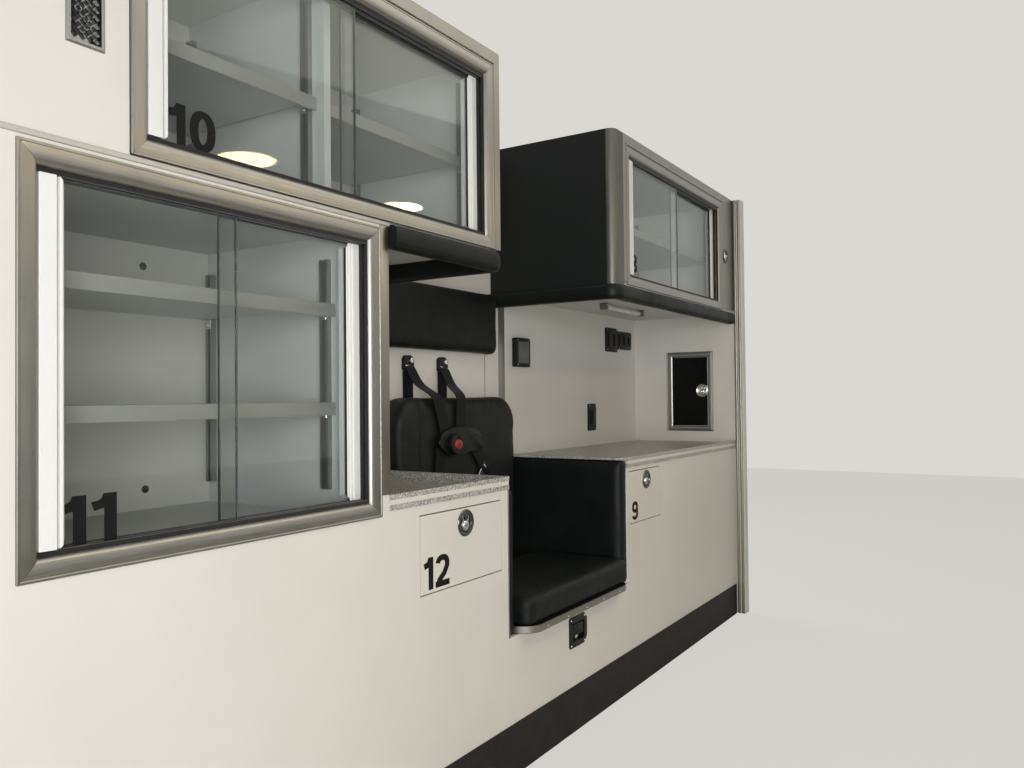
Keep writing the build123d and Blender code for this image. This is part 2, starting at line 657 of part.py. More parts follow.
def counter(x, over, sink):
    """A worktop sunk inside its rim, its front edge grooved, its left end thin where it laps a pad."""
    y = (FRONT - COUNTER_PROUD, BACK)
    top = slab(x, y, (COUNTER_BASE, COUNTER_TOP))
    band_z = (COUNTER_TOP - COUNTER_THICK * 0.65, COUNTER_TOP - COUNTER_THICK * 0.34)
    band = slab((x[0] - 1, x[1] + 1), (y[0], y[0] + COUNTER_PROUD / 2), band_z)
    left = x[0] + (over + COUNTER_RIM / 2 if over else 0)
    right = x[1] - (0 if over else COUNTER_RIM)
    sunk = (COUNTER_TOP - sink, COUNTER_TOP)
    basin = slab((left, right), (y[0] + COUNTER_RIM, y[1] + 1), sunk)
    if over:
        top = fillet(front_corners(top)[0], COUNTER_CORNER)
        under = (COUNTER_BASE - 1, COUNTER_TOP - COUNTER_LIP)
        top -= slab((x[0] - 1, x[0] + over), (y[0] - 1, y[1] + 1), under)
    return top - band - basin


def build_lower():
    """Counters, drop-down doors, their latches and the pass-through door."""
    parts = {}
    lap_left = SEAT_RIGHT + PAD_ROUND
    parts["counters"] = Compound([
        counter((BOX_END, BAY_LEFT), 0, COUNTER_WELL),
        counter((lap_left, BULKHEAD), BAY_RIGHT + FIT - lap_left, COUNTER_SINK),
    ])
    for name, x, z in (("12", DOOR_12_X, DOOR_12_Z), ("9", DOOR_9_X, DOOR_9_Z)):
        parts[f"door_{name}"] = lower_door(x, z)
        place = Pos(sum(x) / 2 + LATCH_SHIFT, FRONT, z[1] - LATCH_DROP)
        parts[f"latch_{name}"] = place * (Rot(90, 0, 0) * round_latch())

    open_y = (PASS_Y[0] + PASS_RING, PASS_Y[1] - PASS_RING)
    open_z = (PASS_Z[0] + PASS_RING, PASS_Z[1] - PASS_RING)
    ring = slab((PASS_FACE, PASS_BACK), PASS_Y, PASS_Z)
    parts["pass_frame"] = ring - slab((PASS_FACE - 1, PASS_BACK + 1), open_y, open_z)
    panel = slab((PASS_FACE, PASS_FACE + PASS_PANEL), open_y, open_z)
    place = Pos(PASS_FACE, PASS_Y[0] + PASS_LATCH_INSET, PASS_Z[0] + PASS_LATCH_RISE)
    hole_radius = (LATCH_BODY + LATCH_HOLE_GAP) * PASS_LATCH_SCALE
    hole = Cylinder(hole_radius, PASS_RING * 2, rotation=(0, 90, 0))
    parts["pass_door"] = panel - place * hole
    small = scale(round_latch(), PASS_LATCH_SCALE)
    parts["pass_latch"] = place * (Rot(0, -90, 0) * small)
    return parts


def build_seat():
    """Seat lid with its cushion, side pads, backrest, head pad and bumper pads."""
    parts = {}
    lid_x = (SEAT_LEFT + SEAT_SIDE_GAP, SEAT_RIGHT - SEAT_SIDE_GAP)
    board = slab(lid_x, (NOSE, SEAT_HINGE_Y), (SEAT_BASE + FIT, SEAT_TOP))
    parts["seat_board"] = fillet(front_corners(board), SEAT_CORNER)
    cushion_x = (lid_x[0] + CUSHION_INSET / 2, lid_x[1] - CUSHION_INSET / 2)
    cushion_y = (NOSE + CUSHION_INSET, SEAT_HINGE_Y)
    cushion = slab(cushion_x, cushion_y, (SEAT_TOP + FIT, CUSHION_TOP))
    cushion = fillet(front_corners(cushion), CUSHION_CORNER)
    rear_top = cushion.faces().sort_by(Axis.Z)[-1].edges().sort_by(Axis.Y)[-1]
    parts["seat_cushion"] = chamfer(rear_top, CUSHION_SLOPE)

    pad_y = (FRONT, BACKREST_FACE - CUSHION_INSET)
    left = slab((BAY_LEFT + FIT, SEAT_LEFT), pad_y, (SEAT_BASE, COUNTER_BASE - FIT))
    left = fillet(front_corners(left), PAD_ROUND)
    right_y = (FRONT - CUSHION_INSET, BACK - FIT)
    right_z = (SEAT_BASE + 6.0, COUNTER_TOP - COUNTER_LIP - FIT)
    right = slab((SEAT_RIGHT, BAY_RIGHT - FIT), right_y, right_z)
    right = fillet(front_corners(right), PAD_RIGHT_ROUND)
    parts["side_pads"] = Compound([left, right])

    rest_x = (SEAT_LEFT + CUSHION_INSET, SEAT_RIGHT - CUSHION_INSET)
    rest = slab(rest_x, (BACKREST_FACE, BACK - FIT), (CUSHION_TOP + BACKREST_GAP, BACKREST_TOP))
    corners = rest.edges().filter_by(Axis.Y).sort_by(Axis.Z)[-2:]
    parts["backrest"] = fillet(corners, BACKREST_CORNER)
    head_x = (BAY_LEFT + HEAD_PAD_INSET, UPPER_LEFT - BUMPER_PROUD - 2.0)
    head_z = (BACKREST_TOP + HEAD_PAD_GAP, UPPER_BOTTOM - 1.0)
    parts["head_pad"] = slab(head_x, (BACK - HEAD_PAD_THICK, BACK - FIT), head_z)

    # Each bumper runs along the front and back along the end of its cabinet that faces the bay
    z = (UPPER_BOTTOM - BUMPER_HEIGHT, UPPER_BOTTOM - FIT)
    y = (FRONT - BUMPER_PROUD, BACK - FIT)
    within = ((FRONT + BUMPER_IN, BACK), (z[0] - 1, z[1] + 1))
    rear = slab((BOX_END + TRIM + FIT, CABINET_10_END), y, z)
    rear = fillet(front_corners(rear)[1], BUMPER_ROUND)
    rear -= slab((BOX_END, CABINET_10_END - BUMPER_PROUD - BUMPER_IN), *within)
    fore = slab((UPPER_LEFT - BUMPER_PROUD, BULKHEAD - BUMPER_END), y, z)
    fore = fillet(front_corners(fore)[0], BUMPER_CORNER)
    fore -= slab((UPPER_LEFT + BUMPER_IN, BULKHEAD), *within)
    parts["bumper_pads"] = Compound([rear, fore])
    return parts


def build_harness():
    """Four-point harness: two anchored shoulder straps, a buckle on its pad and lap straps."""
    parts = {}
    face = BACKREST_FACE - 4 * WEB_THICK
    wall = BACK - 14.0
    top = BACKREST_TOP
    left_x = BAY_LEFT + 180.0
    right_x = BAY_LEFT + 353.0
    mid_x = BAY_LEFT + 295.0
    mid_z = top - BUCKLE_DROP
    lap = mid_z - CUSHION_TOP - 34.0
    anchor_z = top + ANCHOR_RISE
    # (x, y, z) stations of each strap, the shoulder straps from the wall down to the buckle
    left = [
        (left_x, wall, top + 95.0),
        (left_x + 6.0, wall - 31.0, top + 45.0),
        (left_x + 16.0, BACKREST_FACE - 8.0, top + 7.0),
        (left_x + 34.0, face - 3.0, top - 35.0),
        (mid_x - 46.0, face - 4.0, mid_z + 26.0),
    ]
    right = [
        (right_x, wall, top + 95.0),
        (right_x - 5.0, wall - 31.0, top + 45.0),
        (right_x - 30.0, BACKREST_FACE - 8.0, top + 7.0),
        (right_x - 34.0, face - 3.0, top - 35.0),
        (mid_x + 26.0, face - 4.0, mid_z + 26.0),
    ]
    lap_left = [
        (mid_x - 72.0, face - 4.0, mid_z - 5.0),
        (mid_x - 88.0, face - 2.0, mid_z - lap * 0.26),
        (mid_x - 108.0, face, mid_z - lap * 0.6),
        (mid_x - 122.0, face, mid_z - lap),
    ]
    lap_right = [
        (mid_x + 100.0, face - 4.0, mid_z - 10.0),
        (mid_x + 126.0, face - 3.0, mid_z - 45.0),
        (mid_x + 146.0, face - 2.0, mid_z - 75.0),
    ]
    # The runs of both shoulder straps that drop behind the backrest
    hidden = [
        [(x, BACK - 6.0, anchor_z - FIT), (x + 3.0, BACK - 4.0, top + FIT)]
        for x in (left_x, right_x)
    ]
    straps = [left, right, lap_left, lap_right, *hidden]
    parts["harness_straps"] = Compound([ribbon(line) for line in straps])

    covers = []
    half = ANCHOR_WIDTH / 2
    for x in (left_x, right_x):
        cover_z = (anchor_z, anchor_z + ANCHOR_WIDTH)
        cover = slab((x - half, x + half), (BACK - ANCHOR_DEPTH, BACK), cover_z)
        bolt = Cylinder(11.0, 10.0, rotation=(90, 0, 0))
        covers.append(cover + Pos(x, BACK - ANCHOR_DEPTH - 4.0, anchor_z + 30.0) * bolt)
    parts["harness_anchors"] = Compound(covers)

    # Corners of the pad behind the buckle, from the button, seen from the front
    pad_corners = [
        (-100.0, 7.0), (-82.0, -12.0), (-37.0, -35.0), (69.0, -26.0),
        (131.0, -21.0), (131.0, 6.0), (115.0, 36.0), (-10.0, 52.0), (-72.0, 38.0),
    ]
    pad_face = face - 4.0 - WEB_THICK / 2 - FIT
    plane = Plane(origin=(mid_x, pad_face, mid_z), x_dir=(1, 0, 0), z_dir=(0, -1, 0))
    sheet = make_face(Polyline(*pad_corners, close=True))
    sheet = fillet(sheet.vertices(), BUCKLE_PAD / 2)
    head = plane * extrude(sheet, BUCKLE_PAD)
    hub = Cylinder(BUCKLE_RADIUS, BUCKLE_DEPTH, rotation=(90, 0, 0))
    button = Cylinder(BUCKLE_RADIUS / 2, BUCKLE_DEPTH, rotation=(90, 0, 0))
    head += Pos(mid_x, pad_face - BUCKLE_PAD, mid_z) * hub
    head += Pos(mid_x, pad_face - BUCKLE_PAD - BUCKLE_DEPTH / 4, mid_z) * button
    tongue_top = lap_right[-1][2] - FIT
    tongue_x = (lap_right[-1][0] - half, lap_right[-1][0] + half)
    tongue = slab(tongue_x, (face - 4.0, face - 1.0), (tongue_top - WEB, tongue_top))
    parts["harness_buckle"] = Compound([head, tongue])
    return parts


def diamond_grille(x, z):
    """A bevelled rim round a sunk lattice of diamond holes."""
    face = FRONT - GRILLE_THICK
    plate = slab(x, (face, FRONT), z)
    plate = chamfer(plate.faces().sort_by(Axis.Y)[0].edges(), GRILLE_THICK / 2)
    inner_x = (x[0] + GRILLE_RIM, x[1] - GRILLE_RIM)
    inner_z = (z[0] + GRILLE_RIM, z[1] - GRILLE_RIM)
    plate -= slab(inner_x, (face, face + GRILLE_THICK / 2), inner_z)
    columns = int((inner_x[1] - inner_x[0]) / GRILLE_PITCH) - 1
    rows = int((inner_z[1] - inner_z[0]) / GRILLE_PITCH / 2)
    first_x = sum(x) / 2 - (columns - 1) * GRILLE_PITCH / 2
    first_z = sum(z) / 2 - (rows - 1) * GRILLE_PITCH
    diamond = Box(GRILLE_HOLE, GRILLE_HOLE, 4 * GRILLE_THICK, rotation=(0, 0, 45))
    holes = []
    for column in range(columns):
        offset = column % 2
        for row in range(rows - offset):
            hole_z = first_z + (2 * row + offset) * GRILLE_PITCH
            spot = Pos(first_x + column * GRILLE_PITCH, FRONT, hole_z)
            holes.append(spot * (Rot(90, 0, 0) * diamond))
    return plate - holes


def build_fittings():
    """Tube lamp, switch plates, vent grille, post lock and seat latch."""
    parts = {}
    lamp_x = BAY_RIGHT + 555.0
    tube = Cylinder(10.0, LAMP_LENGTH - 10.0, rotation=(0, 90, 0))
    lamp = Pos(lamp_x, 30.0, UPPER_BOTTOM - 14.0) * tube
    for x in (lamp_x - LAMP_LENGTH / 2, lamp_x + LAMP_LENGTH / 2):
        lamp += slab((x - 10.0, x + 10.0), (16.0, 44.0), (UPPER_BOTTOM - 26.0, UPPER_BOTTOM))
    parts["tube_lamp"] = lamp

    # Left edge, width, top below the cabinets, height, depth
    plates = [
        (BAY_RIGHT + 62.0, 96.0, 141.0, 107.0, 20.0),
        (BULKHEAD - 324.0, 115.0, 52.0, 107.0, 8.0),
        (BULKHEAD - 205.0, 149.0, 62.0, 82.0, 8.0),
        (BULKHEAD - 503.0, 70.0, 391.0, 114.0, 7.0),
    ]
    parts["wall_plates"] = Compound([
        slab((x, x + wide), (BACK - deep, BACK), (UPPER_BOTTOM - drop - tall, UPPER_BOTTOM - drop))
        for x, wide, drop, tall, deep in plates
    ])

    grille_x = WINDOW_10_X - GRILLE_OFFSET
    grille_z = UPPER_BOTTOM + GRILLE_RISE
    span_x = (grille_x, grille_x + GRILLE_WIDTH)
    parts["vent_grille"] = diamond_grille(span_x, (grille_z, grille_z + GRILLE_HEIGHT))

    place = Pos(POST_LOCK_X, POST_FACE, POST_LOCK_Z)
    parts["post_lock"] = place * (Rot(90, 0, 0) * round_latch())

    x = (SEAT_LATCH_X, SEAT_LATCH_X + SEAT_LATCH_WIDTH)
    z = (SEAT_LATCH_Z, SEAT_LATCH_Z + SEAT_LATCH_HEIGHT)
    outline = [
        (x[0], z[0]),
        (x[1] - SEAT_LATCH_CUT, z[0]),
        (x[1], z[0] + SEAT_LATCH_CUT),
        (x[1], z[1] - SEAT_LATCH_CUT),
        (x[1] - SEAT_LATCH_CUT, z[1]),
        (x[0], z[1]),
    ]
    plate = front_outline(outline, FRONT - 3.0, FRONT)
    cup = slab((x[0] + 13.0, x[1] - 13.0), (FRONT, FRONT + 20.0), (z[0] + 11.0, z[1] - 14.0))
    dish = slab((x[0] + 19.0, x[1] - 19.0), (FRONT - 3.0, FRONT + 14.0), (z[0] + 17.0, z[1] - 20.0))
    paddle = slab((x[0] + 23.0, x[1] - 23.0), (FRONT - 2.0, FRONT + 14.0), (z[0] + 32.0, z[1] - 24.0))
    parts["seat_latch"] = plate + cup - dish + paddle
    return parts


def main():
    """Builds each group and writes one file per node."""
    os.makedirs("parts", exist_ok=True)
    groups = [
        build_shell,
        build_faces,
        build_trims,
        build_windows,
        build_shelves,
        build_lower,
        build_seat,
        build_harness,
        build_fittings,
    ]
    for group in groups:
        for name, shape in group().items():
            export_step(shape, f"parts/{name}.step")


main()
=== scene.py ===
"""Looks of an ambulance's interior side-wall cabinet unit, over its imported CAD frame.

Row frame: +X towards the vehicle's front, +Y outboard (the fronts face -Y), +Z up. Metres.
"""
from dataclasses import dataclass, field
from enum import Enum
import logging
import math
from typing import Callable, Iterable, Optional, Sequence, Union

import bmesh
from bmesh.types import BMFace, BMVert
import bpy
from bpy.types import Material, Node, NodeSocket, NodeTree, Object
from mathutils import Matrix, Vector


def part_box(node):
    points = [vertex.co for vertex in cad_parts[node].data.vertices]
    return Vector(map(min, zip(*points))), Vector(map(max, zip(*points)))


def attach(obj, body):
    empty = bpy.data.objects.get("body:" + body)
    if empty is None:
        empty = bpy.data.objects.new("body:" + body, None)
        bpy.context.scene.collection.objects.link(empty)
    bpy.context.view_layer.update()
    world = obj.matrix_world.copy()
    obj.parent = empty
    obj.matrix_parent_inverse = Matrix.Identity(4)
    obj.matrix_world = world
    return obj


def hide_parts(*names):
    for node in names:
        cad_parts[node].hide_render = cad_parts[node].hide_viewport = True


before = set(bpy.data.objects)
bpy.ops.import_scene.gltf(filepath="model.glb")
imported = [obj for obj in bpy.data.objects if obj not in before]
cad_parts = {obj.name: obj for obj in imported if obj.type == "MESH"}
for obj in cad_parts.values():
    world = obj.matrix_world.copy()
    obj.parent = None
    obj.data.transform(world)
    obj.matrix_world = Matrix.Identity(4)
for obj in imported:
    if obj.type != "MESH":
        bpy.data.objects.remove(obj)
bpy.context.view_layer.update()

LOG = logging.getLogger("cabinet_unit")

Point = tuple[float, float]
Place = tuple[float, float, float]
Value = Union[float, int, bool, tuple, NodeSocket]

MM = 0.001
# Y of the fronts' face and of the recesses' back wall.
FRONT = -0.230
BACK = 0.250
# Z where the upper walls begin, and of the unit's upper end.
UPPER_BASE = 1.3273
TOP = 1.8378


def linear(code: str) -> tuple[float, float, float, float]:
    """Turns an sRGB hex colour into a linear one.

    Args:
        code: The colour as "#RRGGBB".

    Returns:
        Linear red, green, blue and an alpha of 1.
    """
    parts = [int(code[i:i + 2], 16) / 255 for i in (1, 3, 5)]
    red, green, blue = (
        part / 12.92 if part <= 0.04045 else ((part + 0.055) / 1.055) ** 2.4 for part in parts
    )
    return red, green, blue, 1.0


def per_metre(spacing_mm: float) -> float:
    """The texture scale, in repeats per metre, of a pattern with this spacing in millimetres."""
    return 1000.0 / spacing_mm


def add(
    tree: NodeTree,
    kind: str,
    links: Optional[dict[Union[str, int], Value]] = None,
    **settings: object,
) -> Node:
    """Adds a node with its settings and links.

    Args:
        tree: The node tree that takes the node.
        kind: The node's Blender type.
        links: For each input socket, by name or number, a value or the socket that feeds it.
        **settings: Properties of the node itself.

    Returns:
        The new node.
    """
    node = tree.nodes.new(kind)
    for key, value in settings.items():
        setattr(node, key, value)
    for socket, value in (links or {}).items():
        if isinstance(value, NodeSocket):
            tree.links.new(value, node.inputs[socket])
        else:
            node.inputs[socket].default_value = value
    return node


# The finishes' materials that are made already, by name.
MADE: dict[str, Material] = {}


class Brush(Enum):
    """The direction that a metal was brushed in, as the stretch of its lines along X, Y and Z."""

    ALONG_X = (0.012, 1.0, 1.0)
    ALONG_Y = (1.0, 0.012, 1.0)
    ALONG_Z = (1.0, 1.0, 0.012)


class Side(Enum):
    """Which of a window's two panes, as seen from the front."""

    LEFT = "left"
    RIGHT = "right"


@dataclass(frozen=True)
class Finish:
    """A real material with its surface. Subclasses paint its detail, and name its sizes in millimetres."""

    name: str
    colour: str
    roughness: float
    mirror: float = 0.5

    def material(self) -> Material:
        """The finish as a Blender material, made once.

        Returns:
            The material.
        """
        if self.name in MADE:
            return MADE[self.name]
        made = MADE[self.name] = bpy.data.materials.new(self.name)
        made.use_nodes = True
        tree = made.node_tree
        tree.nodes.clear()
        shader = add(tree, "ShaderNodeBsdfPrincipled", {
            "Roughness": self.roughness, "Base Color": linear(self.colour), "Specular IOR Level": self.mirror,
        })
        surface = self.paint(tree, shader) or shader.outputs[0]
        add(tree, "ShaderNodeOutputMaterial", {"Surface": surface})
        return made

    def paint(self, tree: NodeTree, shader: Node) -> Optional[NodeSocket]:
        """Adds the finish's detail.

        Args:
            tree: The material's nodes.
            shader: Its Principled shader.

        Returns:
            The surface to show, or None for the shader's own.
        """
        return None

    def relief(
        self,
        tree: NodeTree,
        shader: Node,
        height: NodeSocket,
        depth_mm: float,
        strength: float,
    ) -> None:
        """Feeds a height pattern to the shader as a bump.

        Args:
            tree: The material's nodes.
            shader: Its Principled shader.
            height: The pattern, from 0 to 1.
            depth_mm: The relief's real depth.
            strength: How much of it shows.
        """
        bump = add(tree, "ShaderNodeBump", {
            "Height": height, "Distance": depth_mm * MM, "Strength": strength,
        })
        tree.links.new(bump.outputs["Normal"], shader.inputs["Normal"])

    def drift(
        self,
        tree: NodeTree,
        place: NodeSocket,
        spacing_mm: float,
        dark: str,
        light: str,
    ) -> NodeSocket:
        """A soft drift between two tones over the surface.

        Args:
            tree: The material's nodes.
            place: The coordinates to read.
            spacing_mm: The size of a patch.
            dark: The darker tone.
            light: The lighter tone.

        Returns:
            The drifting colour.
        """
        patch = add(tree, "ShaderNodeTexNoise", {
            "Vector": place, "Scale": per_metre(spacing_mm), "Detail": 3.0, "Roughness": 0.6,
        })
        even = add(tree, "ShaderNodeMapRange", {
            "Value": patch.outputs["Fac"], "From Min": 0.3, "From Max": 0.7,
        })
        blend = add(tree, "ShaderNodeMixRGB", {
            "Fac": even.outputs["Result"], "Color1": linear(dark), "Color2": linear(light),
        })
        return blend.outputs["Color"]


@dataclass(frozen=True)
class Laminate(Finish):
    """Pressed melamine laminate: an even tone, a fine pressed pebble, a dull satin shine."""

    shade: str = "#C6C2B8"
    drift_mm: float = 420.0
    pebble_mm: float = 1.6
    depth_mm: float = 0.05

    def paint(self, tree: NodeTree, shader: Node) -> None:
        """Adds the drift in tone and the pressed pebble, drawn at 1.6 mm so that it shows.

        Args:
            tree: The material's nodes.
            shader: Its Principled shader.
        """
        place = add(tree, "ShaderNodeTexCoord").outputs["Object"]
        tone = self.drift(tree, place, self.drift_mm, self.shade, self.colour)
        tree.links.new(tone, shader.inputs["Base Color"])
        pebble = add(tree, "ShaderNodeTexNoise", {
            "Vector": place, "Scale": per_metre(self.pebble_mm), "Detail": 2.0, "Roughness": 0.5,
        })
        gloss = add(tree, "ShaderNodeMapRange", {
            "Value": pebble.outputs["Fac"], "To Min": self.roughness - 0.06, "To Max": self.roughness + 0.08,
        })
        tree.links.new(gloss.outputs["Result"], shader.inputs["Roughness"])
        self.relief(tree, shader, pebble.outputs["Fac"], self.depth_mm, strength=0.35)


@dataclass(frozen=True)
class BrushedMetal(Finish):
    """Anodised aluminium or zinc sheet, brushed one way: long fine lines in gloss and tone."""

    brush: Brush = Brush.ALONG_X
    shade: str = "#8A8984"
    line_mm: float = 1.1
    marks_mm: float = 60.0
    depth_mm: float = 0.04

    def paint(self, tree: NodeTree, shader: Node) -> None:
        """Adds the brushed lines, drawn at about 1 mm so that they show, and faint handling marks.

        Args:
            tree: The material's nodes.
            shader: Its Principled shader.
        """
        shader.inputs["Metallic"].default_value = 1.0
        shader.inputs["Anisotropic"].default_value = 0.35
        place = add(tree, "ShaderNodeTexCoord").outputs["Object"]
        along = add(tree, "ShaderNodeMapping", {"Vector": place, "Scale": self.brush.value})
        lines = add(tree, "ShaderNodeTexNoise", {
            "Vector": along.outputs["Vector"], "Scale": per_metre(self.line_mm),
            "Detail": 3.0, "Roughness": 0.7,
        })
        marks = add(tree, "ShaderNodeTexNoise", {
            "Vector": place, "Scale": per_metre(self.marks_mm), "Detail": 5.0, "Roughness": 0.65,
        })
        tone = add(tree, "ShaderNodeMapRange", {
            "Value": lines.outputs["Fac"], "From Min": 0.3, "From Max": 0.75,
        })
        colour = add(tree, "ShaderNodeMixRGB", {
            "Fac": tone.outputs["Result"], "Color1": linear(self.shade), "Color2": linear(self.colour),
        })
        both = add(tree, "ShaderNodeMath", {
            0: lines.outputs["Fac"], 1: marks.outputs["Fac"],
        }, operation="ADD")
        gloss = add(tree, "ShaderNodeMapRange", {
            "Value": both.outputs["Value"], "From Min": 0.6, "From Max": 1.4,
            "To Min": self.roughness - 0.08, "To Max": self.roughness + 0.12,
        })
        tree.links.new(colour.outputs["Color"], shader.inputs["Base Color"])
        tree.links.new(gloss.outputs["Result"], shader.inputs["Roughness"])
        self.relief(tree, shader, lines.outputs["Fac"], self.depth_mm, strength=0.3)


@dataclass(frozen=True)
class Chrome(Finish):
    """Chrome plate on zinc, bright, or with its colour painted dark as a painted reflection: mirror gloss
    with faint finger smears.
    """

    smear_mm: float = 14.0

    def paint(self, tree: NodeTree, shader: Node) -> None:
        """Adds the smears in the gloss.

        Args:
            tree: The material's nodes.
            shader: Its Principled shader.
        """
        shader.inputs["Metallic"].default_value = 1.0
        place = add(tree, "ShaderNodeTexCoord").outputs["Object"]
        smear = add(tree, "ShaderNodeTexNoise", {
            "Vector": place, "Scale": per_metre(self.smear_mm), "Detail": 4.0, "Roughness": 0.6,
        })
        gloss = add(tree, "ShaderNodeMapRange", {
            "Value": smear.outputs["Fac"], "From Min": 0.35, "From Max": 0.75,
            "To Min": self.roughness, "To Max": self.roughness + 0.14,
        })
        tree.links.new(gloss.outputs["Result"], shader.inputs["Roughness"])


@dataclass(frozen=True)
class SolidSurface(Finish):
    """Cast acrylic worktop: a grey ground full of light and dark chips, honed to a satin.

    The band lies in the front edge, between two depths below the top, all three in metres.
    """

    shade: str = "#9A9A95"
    dark: str = "#5E5F5C"
    light: str = "#D3D2CC"
    band: str = "#DAD8CF"
    drift_mm: float = 5.0
    chip_mm: float = 1.7
    depth_mm: float = 0.03
    dark_above: float = 0.66
    light_above: float = 0.72
    top: float = 0.765
    band_top: float = 0.0117
    band_bottom: float = 0.0220

    def paint(self, tree: NodeTree, shader: Node) -> None:
        """Adds the chips, drawn at 1.7 mm so that they show, and the plain band in the front edge.

        Args:
            tree: The material's nodes.
            shader: Its Principled shader.
        """
        place = add(tree, "ShaderNodeTexCoord").outputs["Object"]
        chips = add(tree, "ShaderNodeTexVoronoi", {"Vector": place, "Scale": per_metre(self.chip_mm)})
        pick = add(tree, "ShaderNodeSeparateColor", {"Color": chips.outputs["Color"]})
        is_dark = add(tree, "ShaderNodeMath", {
            0: pick.outputs["Red"], 1: self.dark_above,
        }, operation="GREATER_THAN")
        is_light = add(tree, "ShaderNodeMath", {
            0: pick.outputs["Green"], 1: self.light_above,
        }, operation="GREATER_THAN")
        ground = self.drift(tree, place, self.drift_mm, self.shade, self.colour)
        with_dark = add(tree, "ShaderNodeMixRGB", {
            "Fac": is_dark.outputs["Value"], "Color1": ground, "Color2": linear(self.dark),
        })
        with_light = add(tree, "ShaderNodeMixRGB", {
            "Fac": is_light.outputs["Value"],
            "Color1": with_dark.outputs["Color"], "Color2": linear(self.light),
        })
        split = add(tree, "ShaderNodeSeparateXYZ", {"Vector": place})
        under = add(tree, "ShaderNodeMath", {
            0: split.outputs["Z"], 1: self.top - self.band_top,
        }, operation="LESS_THAN")
        over = add(tree, "ShaderNodeMath", {
            0: split.outputs["Z"], 1: self.top - self.band_bottom,
        }, operation="GREATER_THAN")
        outside = add(tree, "ShaderNodeMath", {
            0: split.outputs["Y"], 1: FRONT - 1 * MM,
        }, operation="LESS_THAN")
        level = add(tree, "ShaderNodeMath", {
            0: under.outputs["Value"], 1: over.outputs["Value"],
        }, operation="MULTIPLY")
        inlay = add(tree, "ShaderNodeMath", {
            0: level.outputs["Value"], 1: outside.outputs["Value"],
        }, operation="MULTIPLY")
        final = add(tree, "ShaderNodeMixRGB", {
            "Fac": inlay.outputs["Value"], "Color1": with_light.outputs["Color"], "Color2": linear(self.band),
        })
        tree.links.new(final.outputs["Color"], shader.inputs["Base Color"])
        self.relief(tree, shader, chips.outputs["Distance"], self.depth_mm, strength=0.2)


@dataclass(frozen=True)
class Vinyl(Finish):
    """Upholstery vinyl with a pressed leather grain: dull shine, tone drifting with wear."""

    shade: str = "#0D1110"
    drift_mm: float = 150.0
    grain_mm: float = 2.2
    pore_mm: float = 0.9
    worn_mm: float = 90.0
    depth_mm: float = 0.12

    def paint(self, tree: NodeTree, shader: Node) -> None:
        """Adds the leather grain, drawn at 2.2 mm so that it shows, and worn patches.

        Args:
            tree: The material's nodes.
            shader: Its Principled shader.
        """
        place = add(tree, "ShaderNodeTexCoord").outputs["Object"]
        tone = self.drift(tree, place, self.drift_mm, self.shade, self.colour)
        tree.links.new(tone, shader.inputs["Base Color"])
        grain = add(tree, "ShaderNodeTexVoronoi", {
            "Vector": place, "Scale": per_metre(self.grain_mm), "Randomness": 1.0,
        }, feature="DISTANCE_TO_EDGE")
        pores = add(tree, "ShaderNodeTexNoise", {
            "Vector": place, "Scale": per_metre(self.pore_mm), "Detail": 2.0, "Roughness": 0.5,
        })
        height = add(tree, "ShaderNodeMath", {
            0: grain.outputs["Distance"], 1: pores.outputs["Fac"],
        }, operation="ADD")
        worn = add(tree, "ShaderNodeTexNoise", {
            "Vector": place, "Scale": per_metre(self.worn_mm), "Detail": 4.0, "Roughness": 0.7,
        })
        gloss = add(tree, "ShaderNodeMapRange", {
            "Value": worn.outputs["Fac"], "From Min": 0.35, "From Max": 0.7,
            "To Min": self.roughness - 0.08, "To Max": self.roughness + 0.1,
        })
        tree.links.new(gloss.outputs["Result"], shader.inputs["Roughness"])
        self.relief(tree, shader, height.outputs["Value"], self.depth_mm, strength=0.4)


@dataclass(frozen=True)
class Webbing(Finish):
    """Woven polyester belt: ribs across it and a twill run along it, dull with a soft sheen."""

    shade: str = "#080A0A"
    rib_mm: float = 2.4
    depth_mm: float = 0.3

    def paint(self, tree: NodeTree, shader: Node) -> None:
        """Adds the weave from the strap's own length and width, drawn at 2.4 mm so that it shows.

        Args:
            tree: The material's nodes.
            shader: Its Principled shader.
        """
        shader.inputs["Sheen Weight"].default_value = 0.1
        shader.inputs["Sheen Roughness"].default_value = 0.5
        run = add(tree, "ShaderNodeUVMap", uv_map="Run").outputs["UV"]
        waves = per_metre(self.rib_mm) / 6.283
        ribs = add(tree, "ShaderNodeTexWave", {
            "Vector": run, "Scale": waves, "Distortion": 0.4, "Detail": 1.0,
        }, wave_type="BANDS", bands_direction="Y")
        twill = add(tree, "ShaderNodeTexWave", {
            "Vector": run, "Scale": waves, "Distortion": 0.2, "Detail": 1.0,
        }, wave_type="BANDS", bands_direction="DIAGONAL")
        weave = add(tree, "ShaderNodeMath", {
            0: ribs.outputs["Fac"], 1: twill.outputs["Fac"],
        }, operation="MULTIPLY")
        tone = add(tree, "ShaderNodeMixRGB", {
            "Fac": weave.outputs["Value"], "Color1": linear(self.shade), "Color2": linear(self.colour),
        })
        tree.links.new(tone.outputs["Color"], shader.inputs["Base Color"])
        self.relief(tree, shader, weave.outputs["Value"], self.depth_mm, strength=0.6)


